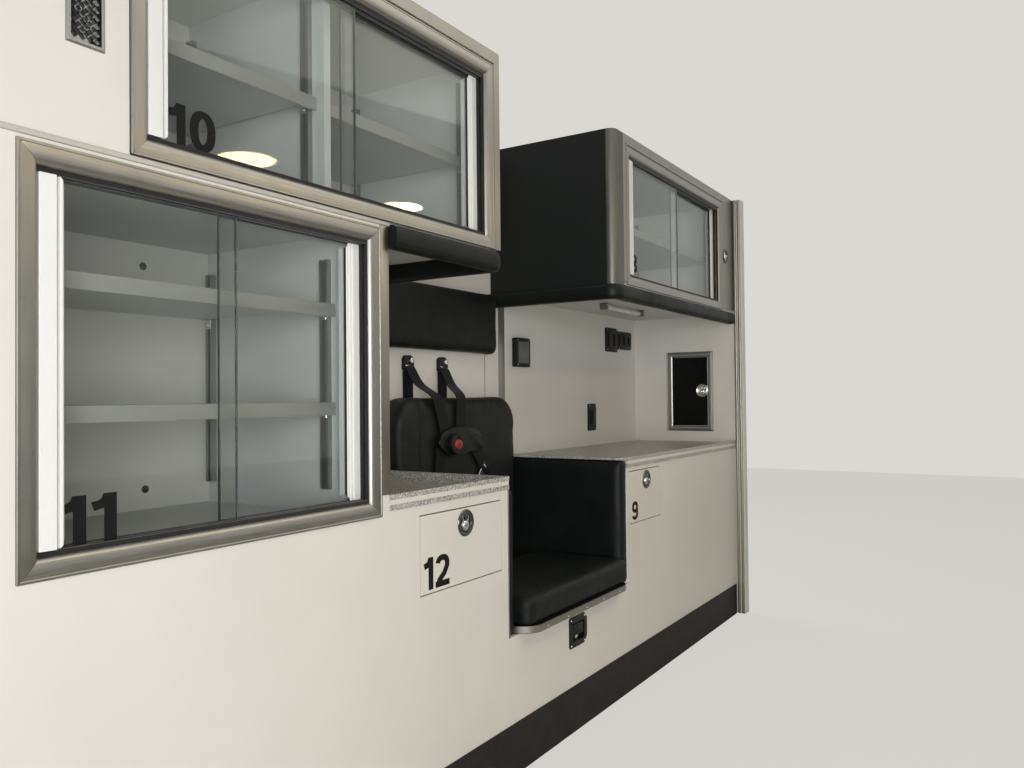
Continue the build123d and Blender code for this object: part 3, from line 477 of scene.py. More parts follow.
@dataclass(frozen=True)
class Moulded(Finish):
    """Injection-moulded ABS, acetal or rubber: a fine spark-eroded texture, even and dull."""

    shade: str = "#0C0E0E"
    drift_mm: float = 40.0
    texture_mm: float = 0.8
    depth_mm: float = 0.06
    coat: float = 0.0

    def paint(self, tree: NodeTree, shader: Node) -> None:
        """Adds the moulded texture and a slight drift in tone.

        Args:
            tree: The material's nodes.
            shader: Its Principled shader.
        """
        shader.inputs["Coat Weight"].default_value = self.coat
        place = add(tree, "ShaderNodeTexCoord").outputs["Object"]
        tone = self.drift(tree, place, self.drift_mm, self.shade, self.colour)
        tree.links.new(tone, shader.inputs["Base Color"])
        pits = add(tree, "ShaderNodeTexNoise", {
            "Vector": place, "Scale": per_metre(self.texture_mm), "Detail": 2.0, "Roughness": 0.6,
        })
        self.relief(tree, shader, pits.outputs["Fac"], self.depth_mm, strength=0.3)


@dataclass(frozen=True)
class Felt(Finish):
    """Flocked felt of a window channel: a soft black pile that takes nearly all the light."""

    shade: str = "#060606"
    drift_mm: float = 12.0
    pile_mm: float = 0.9
    depth_mm: float = 0.4

    def paint(self, tree: NodeTree, shader: Node) -> None:
        """Adds the pile.

        Args:
            tree: The material's nodes.
            shader: Its Principled shader.
        """
        shader.inputs["Sheen Weight"].default_value = 0.25
        place = add(tree, "ShaderNodeTexCoord").outputs["Object"]
        tone = self.drift(tree, place, self.drift_mm, self.shade, self.colour)
        tree.links.new(tone, shader.inputs["Base Color"])
        pile = add(tree, "ShaderNodeTexNoise", {
            "Vector": place, "Scale": per_metre(self.pile_mm), "Detail": 4.0, "Roughness": 0.8,
        })
        self.relief(tree, shader, pile.outputs["Fac"], self.depth_mm, strength=0.8)


@dataclass(frozen=True)
class ClearSheet(Finish):
    """Polished polycarbonate sheet: see-through, with mirror gloss that grows from face on to a slant."""

    tint: str = "#F6F7F6"
    face_on: float = 0.025
    slanted: float = 0.5
    wiped_mm: float = 120.0

    def paint(self, tree: NodeTree, shader: Node) -> NodeSocket:
        """Mixes the polished face over plain see-through sheet, more at a slant, and lets light by.

        Args:
            tree: The material's nodes.
            shader: Its Principled shader.

        Returns:
            The mixed surface.
        """
        shader.inputs["Metallic"].default_value = 1.0
        place = add(tree, "ShaderNodeTexCoord").outputs["Object"]
        wiped = add(tree, "ShaderNodeTexNoise", {
            "Vector": place, "Scale": per_metre(self.wiped_mm), "Detail": 4.0, "Roughness": 0.65,
        })
        gloss = add(tree, "ShaderNodeMapRange", {
            "Value": wiped.outputs["Fac"], "From Min": 0.4, "From Max": 0.75,
            "To Min": self.roughness, "To Max": self.roughness + 0.02,
        })
        tree.links.new(gloss.outputs["Result"], shader.inputs["Roughness"])
        slant = add(tree, "ShaderNodeLayerWeight", {"Blend": 0.5})
        curve = add(tree, "ShaderNodeMath", {0: slant.outputs["Facing"], 1: 3.0}, operation="POWER")
        mirror = add(tree, "ShaderNodeMapRange", {
            "Value": curve.outputs["Value"], "To Min": self.face_on, "To Max": self.slanted,
        })
        rays = add(tree, "ShaderNodeLightPath")
        lit = add(tree, "ShaderNodeMath", {0: 1.0, 1: rays.outputs["Is Shadow Ray"]}, operation="SUBTRACT")
        share = add(tree, "ShaderNodeMath", {
            0: mirror.outputs["Result"], 1: lit.outputs["Value"],
        }, operation="MULTIPLY")
        clear = add(tree, "ShaderNodeBsdfTransparent", {"Color": linear(self.tint)})
        return add(tree, "ShaderNodeMixShader", {
            "Fac": share.outputs["Value"], 1: clear.outputs[0], 2: shader.outputs[0],
        }).outputs[0]


# Pressed melamine on ply: a warm pale greige, nearly matt, so the walls read as one even tone.
WALL = Laminate("melamine_laminate_greige", "#DDDBD4", 0.42, shade="#D6D4CC")
# White melamine lining: cleaner and cooler than the walls, and lit through the panes.
LINING = Laminate("melamine_lining_white", "#C9CCC8", 0.38, shade="#C0C3C0")
# Charcoal laminate on the fore cabinet's side: dark and flat beside the bright corner.
DARK_SIDE = Laminate("melamine_laminate_charcoal", "#151A19", 0.55, mirror=0.25, shade="#101413")
# Coved vinyl skirting: dull black rubbery edge along the floor.
SKIRTING = Moulded("vinyl_skirting", "#1C1D1D", 0.6, mirror=0.3)
# Anodised aluminium extrusion, brushed along its length: pale and warm, with long soft glints.
ALUMINIUM_X = BrushedMetal("anodised_aluminium_level", "#A7A6A0", 0.34, brush=Brush.ALONG_X)
ALUMINIUM_Y = BrushedMetal("anodised_aluminium_across", "#A7A6A0", 0.34, brush=Brush.ALONG_Y)
# The upright copy is painted a tone darker than the level ones: painted shade on the same extrusion.
ALUMINIUM_Z = BrushedMetal("anodised_aluminium_upright_shaded", "#939289", 0.34, brush=Brush.ALONG_Z)
# The fore cabinet's corner extrusion: the aluminium painted darker, a painted shade, so that it reads as a
# grey upright line.
ALUMINIUM_CORNER_SHADED = BrushedMetal(
    "aluminium_corner_painted_shade", "#6F6E69", 0.4, brush=Brush.ALONG_Z, shade="#5C5B57",
)
# Galvanised steel of the shelf channels and the vent grille: greyer and duller than the aluminium.
ZINC = BrushedMetal("galvanised_steel", "#A5A7A5", 0.42, brush=Brush.ALONG_Z, shade="#7D807F")
# Cast acrylic worktop: a speckled mid grey, with a plain pale band in its edge.
WORKTOP = SolidSurface("cast_acrylic_worktop", "#A5A49E", 0.38)
# Polished chrome on screws and clips: small hard glints.
CHROME = Chrome("bright_chrome_plate", "#D8D8D6", 0.08)
# Chrome on the latches and the wall screws, its colour painted dark as a painted reflection of a dark
# surround: a dark mirror with hard bright edges.
CHROME_PAINTED_DARK = Chrome("chrome_painted_dark_reflection", "#5B5E5D", 0.09)
# Black acrylic of the pass-through door and the rockers: even and deep, with only a low shine.
GLOSS_BLACK = Moulded("black_acrylic_sheet", "#0B0D0D", 0.3, mirror=0.12, shade="#060707")
# Upholstery vinyl: near-black charcoal with a green cast on the pads, warmer on the backrest.
CHARCOAL_VINYL = Vinyl("charcoal_upholstery_vinyl", "#131816", 0.5, mirror=0.2)
BROWN_VINYL = Vinyl("taupe_upholstery_vinyl", "#1E211E", 0.5, mirror=0.2, shade="#171A17")
# Polyester belt webbing: duller than the vinyl behind it, with its ribs catching the light.
WEBBING = Webbing("polyester_webbing", "#131616", 0.75, mirror=0.15)
# Moulded ABS covers, plates and buckle: an even black with a low satin shine.
ABS_BLACK = Moulded("moulded_abs_black", "#101212", 0.42, mirror=0.3)
# Red acetal release button: the one bright spot on the harness.
RED_BUTTON = Moulded("red_acetal", "#A3222B", 0.35, shade="#8A1B24", coat=0.2)
# Frosted acrylic diffuser of the tube lamp: a milky white rod.
DIFFUSER = Moulded("frosted_acrylic_tube", "#E4E3DC", 0.28, shade="#D6D6D0", coat=0.4)
# Grey polycarbonate inside the first switch plate's dark frame.
PLATE_GREY = Moulded("grey_polycarbonate", "#62645F", 0.4, shade="#585A56")
# Grey melamine edging on the shelves' lips: a tone below the lining.
LIP_GREY = Laminate("melamine_edging_grey", "#969892", 0.4, shade="#8C8E89", pebble_mm=1.2, depth_mm=0.02)
# Band in the seam between the upper and lower walls: the wall's laminate painted a tone darker, a painted
# shade for the shadow that falls in the seam.
SEAM_SHADE = Laminate("seam_band_painted_shade", "#B9B6AC", 0.5, shade="#AFACA3")
# Flocked felt in the window channels: the darkest line inside each frame.
FELT = Felt("flocked_felt", "#111212", 0.95)
# Clear polycarbonate panes, and their polished edges in a dark colour: painted shade for how a clear edge
# looks dark end on.
PANE = ClearSheet("clear_polycarbonate_sheet", "#E8EEEE", 0.02)
PANE_EDGE = Moulded("polycarbonate_edge_painted_shade", "#39423F", 0.2, shade="#2C3331", coat=0.5)
# White anodised pull extrusion: satin, a touch warm.
PULL_WHITE = Laminate(
    "white_anodised_extrusion", "#E6E8E4", 0.36, shade="#DEE0DC", pebble_mm=0.9, depth_mm=0.02,
)
# Cut vinyl film of the numerals: flat black, so that the figures read from any side.
FILM_BLACK = Moulded("black_vinyl_film", "#0C0C0D", 0.7, mirror=0.2)

NODE_FINISH: dict[Finish, Sequence[str]] = {
    WALL: (
        "back_skin", "front_wall", "face_rear", "face_rear_upper", "face_seat", "face_fore",
        "door_12", "door_9",
    ),
    LINING: ("partitions", "decks", "shelves"),
    DARK_SIDE: ("fore_side",),
    ALUMINIUM_Z: ("face_posts",),
    SKIRTING: ("kick_strip",),
    ZINC: ("standards", "vent_grille"),
    WORKTOP: ("counters",),
    GLOSS_BLACK: ("pass_door",),
    FELT: ("track_11", "track_10", "track_fore"),
    PANE: (
        "pane_11_left", "pane_11_right", "pane_10_left", "pane_10_right", "pane_fore_left", "pane_fore_right",
    ),
}


def join_rings(mesh: bmesh.types.BMesh, rings: Sequence[Sequence[BMVert]]) -> None:
    """Joins closed rings of points with a skin of faces, each ring to the next.

    Args:
        mesh: The mesh that holds them.
        rings: The rings, all with the same number of points.
    """
    for ring, after in zip(rings, rings[1:]):
        for number in range(len(ring)):
            turned = (number + 1) % len(ring)
            mesh.faces.new((ring[number], ring[turned], after[turned], after[number]))


@dataclass
class Piece:
    """One piece of the model while its mesh is made."""

    name: str
    body: str
    slot: str
    finishes: Sequence[Finish]
    mesh: bmesh.types.BMesh = field(default_factory=bmesh.new)

    def faces_finish(self, before: set[BMFace], index: int) -> None:
        """Gives the faces made since a snapshot a finish.

        Args:
            before: The faces that were there already.
            index: The finish's number in the piece's list.
        """
        for face in self.mesh.faces:
            if face not in before:
                face.material_index = index

    def block(self, low: Place, high: Place, bevel: float = 0.001, index: int = 0, steps: int = 2) -> None:
        """Adds a box with bevelled edges.

        Args:
            low: Its lowest corner.
            high: Its highest corner.
            bevel: The bevel's width.
            index: The finish's number.
            steps: The bevel's segments.
        """
        before = set(self.mesh.faces)
        made = bmesh.ops.create_cube(self.mesh, size=1.0)
        corner = Vector(low)
        size = Vector(high) - corner
        for vert in made["verts"]:
            vert.co = corner + Vector((
                (vert.co.x + 0.5) * size.x, (vert.co.y + 0.5) * size.y, (vert.co.z + 0.5) * size.z,
            ))
        if bevel:
            edges = list(dict.fromkeys(edge for vert in made["verts"] for edge in vert.link_edges))
            bmesh.ops.bevel(self.mesh, geom=edges, offset=bevel, segments=steps, affect="EDGES", profile=0.5)
        self.faces_finish(before, index)

    def lathe(
        self,
        outline: Sequence[Point],
        centre: Place,
        axis: Place,
        index: int = 0,
        steps: int = 48,
        stretch: float = 1.0,
    ) -> None:
        """Adds a turned form.

        Args:
            outline: (radius, height) points along the axis.
            centre: Where height 0 sits.
            axis: The axis that heights run along.
            index: The finish's number.
            steps: Segments round the axis.
            stretch: How much wider than tall an oval form is.
        """
        before = set(self.mesh.faces)
        turn = Vector((0, 0, 1)).rotation_difference(Vector(axis)).to_matrix()
        rings = []
        for radius, height in outline:
            ring = []
            for step in range(steps if radius > 1e-6 else 1):
                angle = 2 * math.pi * step / steps
                spot = Vector((radius * math.cos(angle) * stretch, radius * math.sin(angle), height))
                ring.append(self.mesh.verts.new(Vector(centre) + turn @ spot))
            rings.append(ring)
        for ring, after in zip(rings, rings[1:]):
            for step in range(steps):
                turned = (step + 1) % steps
                corners = [ring[step % len(ring)], ring[turned % len(ring)]]
                corners += [after[turned % len(after)], after[step % len(after)]]
                unique = list(dict.fromkeys(corners))
                if len(unique) > 2:
                    self.mesh.faces.new(unique)
        self.faces_finish(before, index)

    def tube(self, path: Sequence[Place], outline: Sequence[Point], side: Place, index: int = 0) -> None:
        """Sweeps a closed outline along a path and closes its ends.

        Args:
            path: The path's points.
            outline: (across, up) points of the section.
            side: The direction that "across" keeps to.
            index: The finish's number.
        """
        before = set(self.mesh.faces)
        points = [Vector(spot) for spot in path]
        rings = []
        for number, spot in enumerate(points):
            ahead = points[min(number + 1, len(points) - 1)] - points[max(number - 1, 0)]
            run = ahead.normalized()
            across = (Vector(side) - run * Vector(side).dot(run)).normalized()
            up = run.cross(across)
            rings.append([self.mesh.verts.new(spot + across * a + up * b) for a, b in outline])
        join_rings(self.mesh, rings)
        self.mesh.faces.new(list(reversed(rings[0])))
        self.mesh.faces.new(rings[-1])
        self.faces_finish(before, index)

    def upright(self, outline: Sequence[Point], ends: Callable[[float], Point], index: int = 0) -> None:
        """Adds an upright extrusion whose ends may slope across it.

        Args:
            outline: Closed (x, y) points of its section.
            ends: Gives the bottom and top at an x.
            index: The finish's number.
        """
        before = set(self.mesh.faces)
        low = [self.mesh.verts.new((x, y, ends(x)[0])) for x, y in outline]
        high = [self.mesh.verts.new((x, y, ends(x)[1])) for x, y in outline]
        join_rings(self.mesh, [low, high])
        self.mesh.faces.new(list(reversed(low)))
        self.mesh.faces.new(high)
        self.faces_finish(before, index)

    def plate(
        self,
        outline: Sequence[Point],
        front: float,
        back: float,
        bevel: float,
        index: int = 0,
    ) -> None:
        """Adds a plate cut to a front-view outline, bevelled at its front.

        Args:
            outline: Closed (x, z) points, turning anticlockwise as seen from the front.
            front: The y of its front.
            back: The y of its back.
            bevel: The front bevel's width.
            index: The finish's number.
        """
        before = set(self.mesh.faces)
        near = [self.mesh.verts.new((x, front, z)) for x, z in outline]
        far = [self.mesh.verts.new((x, back, z)) for x, z in outline]
        face = self.mesh.faces.new(near)
        self.mesh.faces.new(list(reversed(far)))
        for number in range(len(outline)):
            turned = (number + 1) % len(outline)
            self.mesh.faces.new((near[turned], near[number], far[number], far[turned]))
        if bevel:
            bmesh.ops.bevel(
                self.mesh, geom=list(face.edges), offset=bevel, segments=2, affect="EDGES", profile=0.6,
            )
        self.faces_finish(before, index)

    def screw(self, centre: Place, axis: Place, radius: float = 0.0045, index: int = 0) -> None:
        """Adds a pan-head screw on its washer, with a cross recess.

        Args:
            centre: Where its head meets the surface.
            axis: The way the head faces.
            radius: The washer's radius.
            index: The finish's number.
        """
        outline = [
            (radius, 0.0), (radius, 0.0006), (radius * 0.78, 0.0008), (radius * 0.74, 0.0018),
            (radius * 0.5, 0.0028), (radius * 0.2, 0.0030), (radius * 0.12, 0.0016), (0.0, 0.0014),
        ]
        self.lathe(outline, centre, axis, index, steps=20)

    def done(self, stands_for: Iterable[str] = (), smooth: float = 35.0) -> Object:
        """Closes the mesh and puts the piece on its body.

        Args:
            stands_for: The CAD nodes that it replaces.
            smooth: Edges sharper than this many degrees stay hard.

        Returns:
            The piece's object.
        """
        bmesh.ops.recalc_face_normals(self.mesh, faces=self.mesh.faces[:])
        data = bpy.data.meshes.new(self.name)
        self.mesh.to_mesh(data)
        self.mesh.free()
        for finish in self.finishes:
            data.materials.append(finish.material())
        thing = bpy.data.objects.new(self.name, data)
        bpy.context.scene.collection.objects.link(thing)
        return settle(thing, self.body, stands_for, smooth)


def mitred(
    piece: Piece,
    low: Point,
    high: Point,
    section: Sequence[Point],
    spot: Callable[[float, float, float], Place],
    gap: float = 0.25 * MM,
) -> None:
    """Adds four bars mitred round a rectangle, level ones in finish 0 and upright ones in finish 1.

    Args:
        piece: The piece to add to.
        low: The rectangle's lower-left corner.
        high: Its upper-right corner.
        section: Closed (inset, depth) points of a bar.
        spot: Gives the place of a (left-right, height, depth) point.
        gap: The hairline left at each mitre.
    """
    for side in range(4):
        before = set(piece.mesh.faces)
        rows = []
        for end in (0, 1):
            row = []
            for inset, deep in section:
                left, right = low[0] + inset, high[0] - inset
                base, top = low[1] + inset, high[1] - inset
                corners = {
                    (0, 0): (left + gap, base), (0, 1): (right - gap, base),
                    (1, 0): (right, base + gap), (1, 1): (right, top - gap),
                    (2, 0): (right - gap, top), (2, 1): (left + gap, top),
                    (3, 0): (left, top - gap), (3, 1): (left, base + gap),
                }
                row.append(piece.mesh.verts.new(spot(*corners[side, end], deep)))
            rows.append(row)
        join_rings(piece.mesh, rows)
        piece.mesh.faces.new(rows[0])
        piece.mesh.faces.new(list(reversed(rows[1])))
        piece.faces_finish(before, side % 2)


def settle(
    thing: Object,
    body: str,
    stands_for: Iterable[str] = (),
    smooth: float = 35.0,
) -> Object:
    """Shades a piece and puts it on its body.

    Args:
        thing: The piece's object.
        body: The CAD body that it rides on.
        stands_for: The CAD nodes that it replaces.
        smooth: Edges sharper than this many degrees stay hard.

    Returns:
        The same object.
    """
    thing.data.shade_smooth()
    if smooth < 180.0:
        thing.data.set_sharp_from_angle(angle=math.radians(smooth))
    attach(thing, body)
    if stands_for:
        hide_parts(*stands_for)
    LOG.info("%s: %d faces on %s", thing.name, len(thing.data.polygons), body)
    return thing


def rounded(low: Point, high: Point, radii: Sequence[float], steps: int = 8) -> list[Point]:
    """A rectangle with its own radius at each corner.

    Args:
        low: Its lower-left corner.
        high: Its upper-right corner.
        radii: The radii at lower left, lower right, upper right and upper left.
        steps: Segments in each corner.

    Returns:
        Its points, turning anticlockwise.
    """
    spots = [(low[0], low[1]), (high[0], low[1]), (high[0], high[1]), (low[0], high[1])]
    inward = [(1, 1), (-1, 1), (-1, -1), (1, -1)]
    points = []
    for number, (spot, way, radius) in enumerate(zip(spots, inward, radii)):
        if radius <= 0:
            points.append(spot)
            continue
        middle = (spot[0] + way[0] * radius, spot[1] + way[1] * radius)
        start = math.pi + number * math.pi / 2
        for step in range(steps + 1):
            angle = start + math.pi / 2 * step / steps
            points.append((middle[0] + radius * math.cos(angle), middle[1] + radius * math.sin(angle)))
    return points


@dataclass
class Window:
    """A framed window of two sliding panes: mitred extrusion, pulls and pane edges."""

    name: str
    frame_body: str
    face: float = 31 * MM
    proud: float = 5 * MM
    depth: float = 46 * MM
    rebate: float = 16 * MM
    pull_width: float = 40 * MM
    bevel: float = 12 * MM
    edge_lip: float = 0.15 * MM
    edge_wide: float = 1.6 * MM
    edge_short: float = 8 * MM

    def section(self) -> list[Point]:
        """The extrusion's closed (inset, depth) section, from its outer edge round to its rebate."""
        f, p, d, r = self.face / MM, self.proud / MM, self.depth / MM, self.rebate / MM
        points = [
            (0.0, 0.0), (0.0, 0.7 - p), (0.7, -p), (3.4, -p), (4.0, 0.5 - p), (4.6, 0.9 - p),
            (f * 0.40, 0.6 - p), (f * 0.62, 1.2 - p), (f * 0.80, 2.6 - p), (f - 2.6, 5.2 - p),
            (f - 0.8, 3.0), (f, 4.4), (f, 13.0), (f - 10, 13.0), (f - 10, 19.0), (f, 19.0),
            (f, 30.0), (f - 10, 30.0), (f - 10, 36.0), (f, 36.0), (f, d), (r, d), (r, 0.0),
        ]
        return [(inset * MM, deep * MM) for inset, deep in points]

    def frame(self) -> None:
        """Builds the four mitred bars, the level ones brushed along X and the upright ones along Z."""
        low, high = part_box(f"frame_{self.name}")
        piece = Piece(
            f"mitred_frame_{self.name}", self.frame_body, "brushed_aluminium", (ALUMINIUM_X, ALUMINIUM_Z),
        )
        bar = self.section()
        mitred(piece, (low.x, low.z), (high.x, high.z), bar, lambda x, z, deep: (x, FRONT + deep, z))
        piece.done([f"frame_{self.name}"], smooth=25.0)

    def pull_sections(self, side: Side, near: float, far: float) -> list[tuple[int, list[Point]]]:
        """The sections of a pull: one clip on the left, and a clip, a strip and a tail on the right.

        Args:
            side: The pull's side.
            near: The y of its front.
            far: The y of its back.

        Returns:
            Each section's finish number and closed points, as millimetres from the outer edge and y.
        """
        if side is Side.LEFT:
            return [(0, [
                (0.0, far), (0.0, near + 0.8 * MM), (0.8, near), (13.0, near), (24.0, near),
                (24.8, near + 0.8 * MM), (25.6, far - 3 * MM), (28.4, far - 3 * MM), (29.2, near + 0.8 * MM),
                (30.0, near), (33.0, near), (33.8, near + 0.7 * MM), (39.2, far - 2 * MM),
                (40.0, far - 1.2 * MM), (40.0, far),
            ])]
        middle = near + 4.7 * MM
        tail = far - 9.7 * MM
        clip = [
            (0.0, middle), (0.0, near + 0.7 * MM), (0.7, near), (18.0, near), (18.7, near + 0.7 * MM),
            (19.4, middle - 1.5 * MM), (22.6, middle - 1.5 * MM), (23.3, near + 0.7 * MM), (24.0, near),
            (27.0, near), (27.7, near + 0.7 * MM), (28.4, middle - 1.5 * MM), (31.6, middle - 1.5 * MM),
            (32.3, near + 0.7 * MM), (33.0, near), (36.0, near), (37.0, near + 0.8 * MM), (37.2, middle),
        ]
        strip = [(37.4, middle), (37.4, near + 1.2 * MM), (40.0, near + 1.2 * MM), (40.0, middle)]
        behind = [
            (0.0, tail), (0.0, far - 0.7 * MM), (0.7, far), (6.0, far), (6.6, far - 0.8 * MM),
            (7.2, tail + 3 * MM), (32.8, tail + 3 * MM), (33.4, far - 0.8 * MM), (34.0, far), (39.3, far),
            (40.0, far - 0.7 * MM), (40.0, tail),
        ]
        return [(0, clip), (1, strip), (0, behind)]

    def pull(self, side: Side) -> None:
        """Builds one finger pull over its CAD solid.

        Args:
            side: The pull's side.
        """
        node = f"pull_{self.name}_{side.value}"
        low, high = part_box(node)
        inward = 1.0 if side is Side.LEFT else -1.0
        outer = low.x if side is Side.LEFT else high.x
        inner = outer + inward * self.pull_width

        def ends(x: float) -> Point:
            """Bottom and top at an x, bevelled at the inner end."""
            cut = max(0.0, self.bevel - abs(inner - x))
            return low.z + cut, high.z - cut

        body = f"window_{self.name}_{side.value}"
        piece = Piece(f"finger_{node}", body, "white_extrusion", (PULL_WHITE, FELT))
        for index, section in self.pull_sections(side, low.y, high.y):
            piece.upright([(outer + inward * u * MM, y) for u, y in section], ends, index)
        piece.done([node], smooth=30.0)

    def pane_edge(self, side: Side) -> None:
        """Builds the polished edge that shows where a pane laps the other, in a dark colour that is painted
        shade.

        Args:
            side: The pane's side.
        """
        low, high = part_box(f"pane_{self.name}_{side.value}")
        x = high.x if side is Side.LEFT else low.x
        inward = -1.0 if side is Side.LEFT else 1.0
        body = f"window_{self.name}_{side.value}"
        piece = Piece(f"pane_edge_{self.name}_{side.value}", body, "clear_polycarbonate", (PANE_EDGE,))
        left, right = sorted((x - inward * self.edge_lip, x + inward * self.edge_wide))
        piece.block(
            (left, low.y - self.edge_lip, low.z + self.edge_short),
            (right, high.y + self.edge_lip, high.z - self.edge_short), 0.1 * MM, steps=1,
        )
        piece.done()

    def build(self) -> None:
        """Builds the whole window."""
        self.frame()
        for side in Side:
            self.pull(side)
        for side in Side:
            self.pane_edge(side)


def oval(centre: Point, half: Point, start: float = 0.0, stop: float = 360.0, steps: int = 26) -> list[Point]:
    """Points on a squarish oval, between two angles in degrees.

    Args:
        centre: Its centre.
        half: Half its width and height.
        start: The first angle.
        stop: The last angle.
        steps: Segments from one to the other.

    Returns:
        Its points.
    """
    power = 0.86  # An ellipse has 1, and less makes it squarer
    points = []
    for step in range(steps + 1):
        angle = math.radians(start + (stop - start) * step / steps)
        wave = (math.cos(angle), math.sin(angle))
        points.append(tuple(
            middle + reach * sign(part) * abs(part) ** power
            for middle, reach, part in zip(centre, half, wave)
        ))
    return points


@dataclass
class Numeral:
    """A plain generic number in cut vinyl film, drawn with even strokes."""

    text: str
    body: str
    low: Point
    high: Point
    face: float
    thick: float = 0.15 * MM
    thicken: float = 0.3
    sink: float = 0.03 * MM
    weight: float = 0.19
    space: float = 0.09

    def strokes(self, digit: str) -> tuple[float, list[list[Point]]]:
        """A digit's width and the middle lines of its strokes, for a height of 1.

        Args:
            digit: The digit.

        Returns:
            Its width and its strokes.
        """
        w = self.weight / 2
        right = 0.58 - w
        ring = 0.29 - w
        table: dict[str, tuple[float, list[list[Point]]]] = {
            "0": (0.58, [oval((0.29, 0.5), (ring, 0.5 - w))]),
            "1": (0.36, [
                [(0.36 - w, 0.0), (0.36 - w, 1.0)],
                [(0.0, 0.745), (0.12, 0.775), (0.21, 0.85), (0.25, 0.97)],
            ]),
            "2": (0.58, [
                [
                    *oval((0.29, 0.70), (ring, 0.30 - w), 170.0, -28.0, 16),
                    (0.36, 0.40), (0.16, 0.22), (w + 0.01, w),
                ],
                [(0.0, w), (0.58, w)],
            ]),
            "8": (0.58, [
                oval((0.29, 0.735), (ring - 0.02, 0.265 - w)),
                oval((0.29, 0.27), (ring, 0.27 - w)),
            ]),
            "9": (0.58, [
                oval((0.29, 0.69), (ring, 0.31 - w)),
                [(right, 0.66), (right, 0.36), *oval((0.29, 0.30), (ring, 0.30 - w), 0.0, -165.0, 14)],
            ]),
        }
        return table[digit]

    def build(self) -> None:
        """Cuts each digit's strokes, each a little thicker than the last, and fits the number to its box."""
        piece = Piece(f"numeral_{self.text}", self.body, "black_plastic", (FILM_BLACK,))
        whole = sum(self.strokes(digit)[0] + self.space for digit in self.text) - self.space
        tall = self.high[1] - self.low[1]
        wide = (self.high[0] - self.low[0]) / whole
        reach = self.weight / 2
        start = 0.0
        for digit in self.text:
            width, lines = self.strokes(digit)
            for number, line in enumerate(lines):
                deep = self.thick * (1 + self.thicken * number) / tall
                outline = [(0.0, -reach), (0.0, reach), (deep, reach), (deep, -reach)]
                piece.tube([(start + u, 0.0, v) for u, v in line], outline, (0, -1, 0))
            start += width + self.space
        for vert in piece.mesh.verts:
            u, deep, v = vert.co
            vert.co = Vector((
                self.low[0] + u * wide, self.face - self.sink + deep * tall, self.low[1] + v * tall,
            ))
        piece.done()


@dataclass
class RoundLatch:
    """A flush round latch: rimmed cup, thumb paddle with two slots, key hub. Profiles in millimetres."""

    node: str
    body: str
    axis: Place
    up: Place = (0.0, 0.0, 1.0)
    size: float = 1.0
    # The default plating's dark colour is a painted reflection.
    plating: Finish = CHROME_PAINTED_DARK
    rim: float = 4.0
    hub_drop: float = 5.0

    def build(self) -> None:
        """Builds the latch about the centre of its CAD solid, on the plane that its rim sits on."""
        low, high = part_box(self.node)
        axis = Vector(self.axis)
        middle = (low + high) / 2
        face = middle - axis * middle.dot(axis) + axis * self.seat(low, high, axis)
        scale = self.size * MM
        piece = Piece(f"paddle_{self.node}", self.body, "polished_chrome", (self.plating, CHROME))
        dish = [
            (26.0, -7.0), (26.0, 0.3), (31.6, 0.3), (32.0, 0.9), (31.0, 2.9), (29.4, 4.0), (27.4, 4.0),
            (25.4, 2.6), (24.2, 2.2), (23.2, 3.0), (22.0, 3.0), (20.8, 1.0), (20.0, -4.6), (19.0, -5.2),
            (0.0, -5.2),
        ]
        piece.lathe([(r * scale, h * scale) for r, h in dish], tuple(face), self.axis, steps=56)
        up = Vector(self.up)
        hub = face - up * self.hub_drop * scale
        ring = [
            (15.0, -5.2), (15.0, -1.0), (14.0, 0.6), (12.6, 0.6), (11.8, -0.6), (11.0, -0.6),
            (10.2, 1.8), (8.8, 3.0), (3.0, 3.4), (0.0, 3.4),
        ]
        piece.lathe([(r * scale, h * scale) for r, h in ring], tuple(hub), self.axis, 1, steps=40)
        # Paddle, its two slots, its grip and the key slot: centre, limits across, along and out, finish
        bars = [
            (face, (-4.6, 4.6), (7.0, 20.5), (-5.2, 3.0), 0),
            (face, (-12.5, -8.5), (5.0, 17.0), (-5.2, 1.2), 1),
            (face, (8.5, 12.5), (5.0, 17.0), (-5.2, 1.2), 1),
            (face, (-11.5, 11.5), (15.0, 20.0), (-5.2, 2.0), 0),
            (hub, (-0.9, 0.9), (-5.0, 5.0), (3.2, 3.7), 0),
        ]
        for centre, across, along, deep, index in bars:
            self.bar(piece, centre, up, across, along, deep, index)
        piece.done([self.node], smooth=40.0)

    def seat(self, low: Vector, high: Vector, axis: Vector) -> float:
        """How far along the axis the plane lies that the rim sits on."""
        tip = max(low.dot(axis), high.dot(axis))
        return tip - self.rim * self.size * MM

    def bar(
        self,
        piece: Piece,
        centre: Vector,
        up: Vector,
        across: Point,
        along: Point,
        deep: Point,
        index: int,
    ) -> None:
        """Adds a bevelled bar to the latch, its limits in millimetres from a centre.

        Args:
            piece: The piece to add to.
            centre: The place that the limits are measured from.
            up: The way that the latch stands.
            across: The bar's limits across the latch.
            along: Its limits up the latch.
            deep: Its limits out of the latch.
            index: The finish's number.
        """
        before = set(piece.mesh.verts)
        piece.block((across[0], along[0], deep[0]), (across[1], along[1], deep[1]), 0.6, index)
        axis = Vector(self.axis)
        side = up.cross(axis)
        for vert in piece.mesh.verts:
            if vert not in before:
                x, y, z = vert.co * self.size * MM
                vert.co = centre + side * x + up * y + axis * z


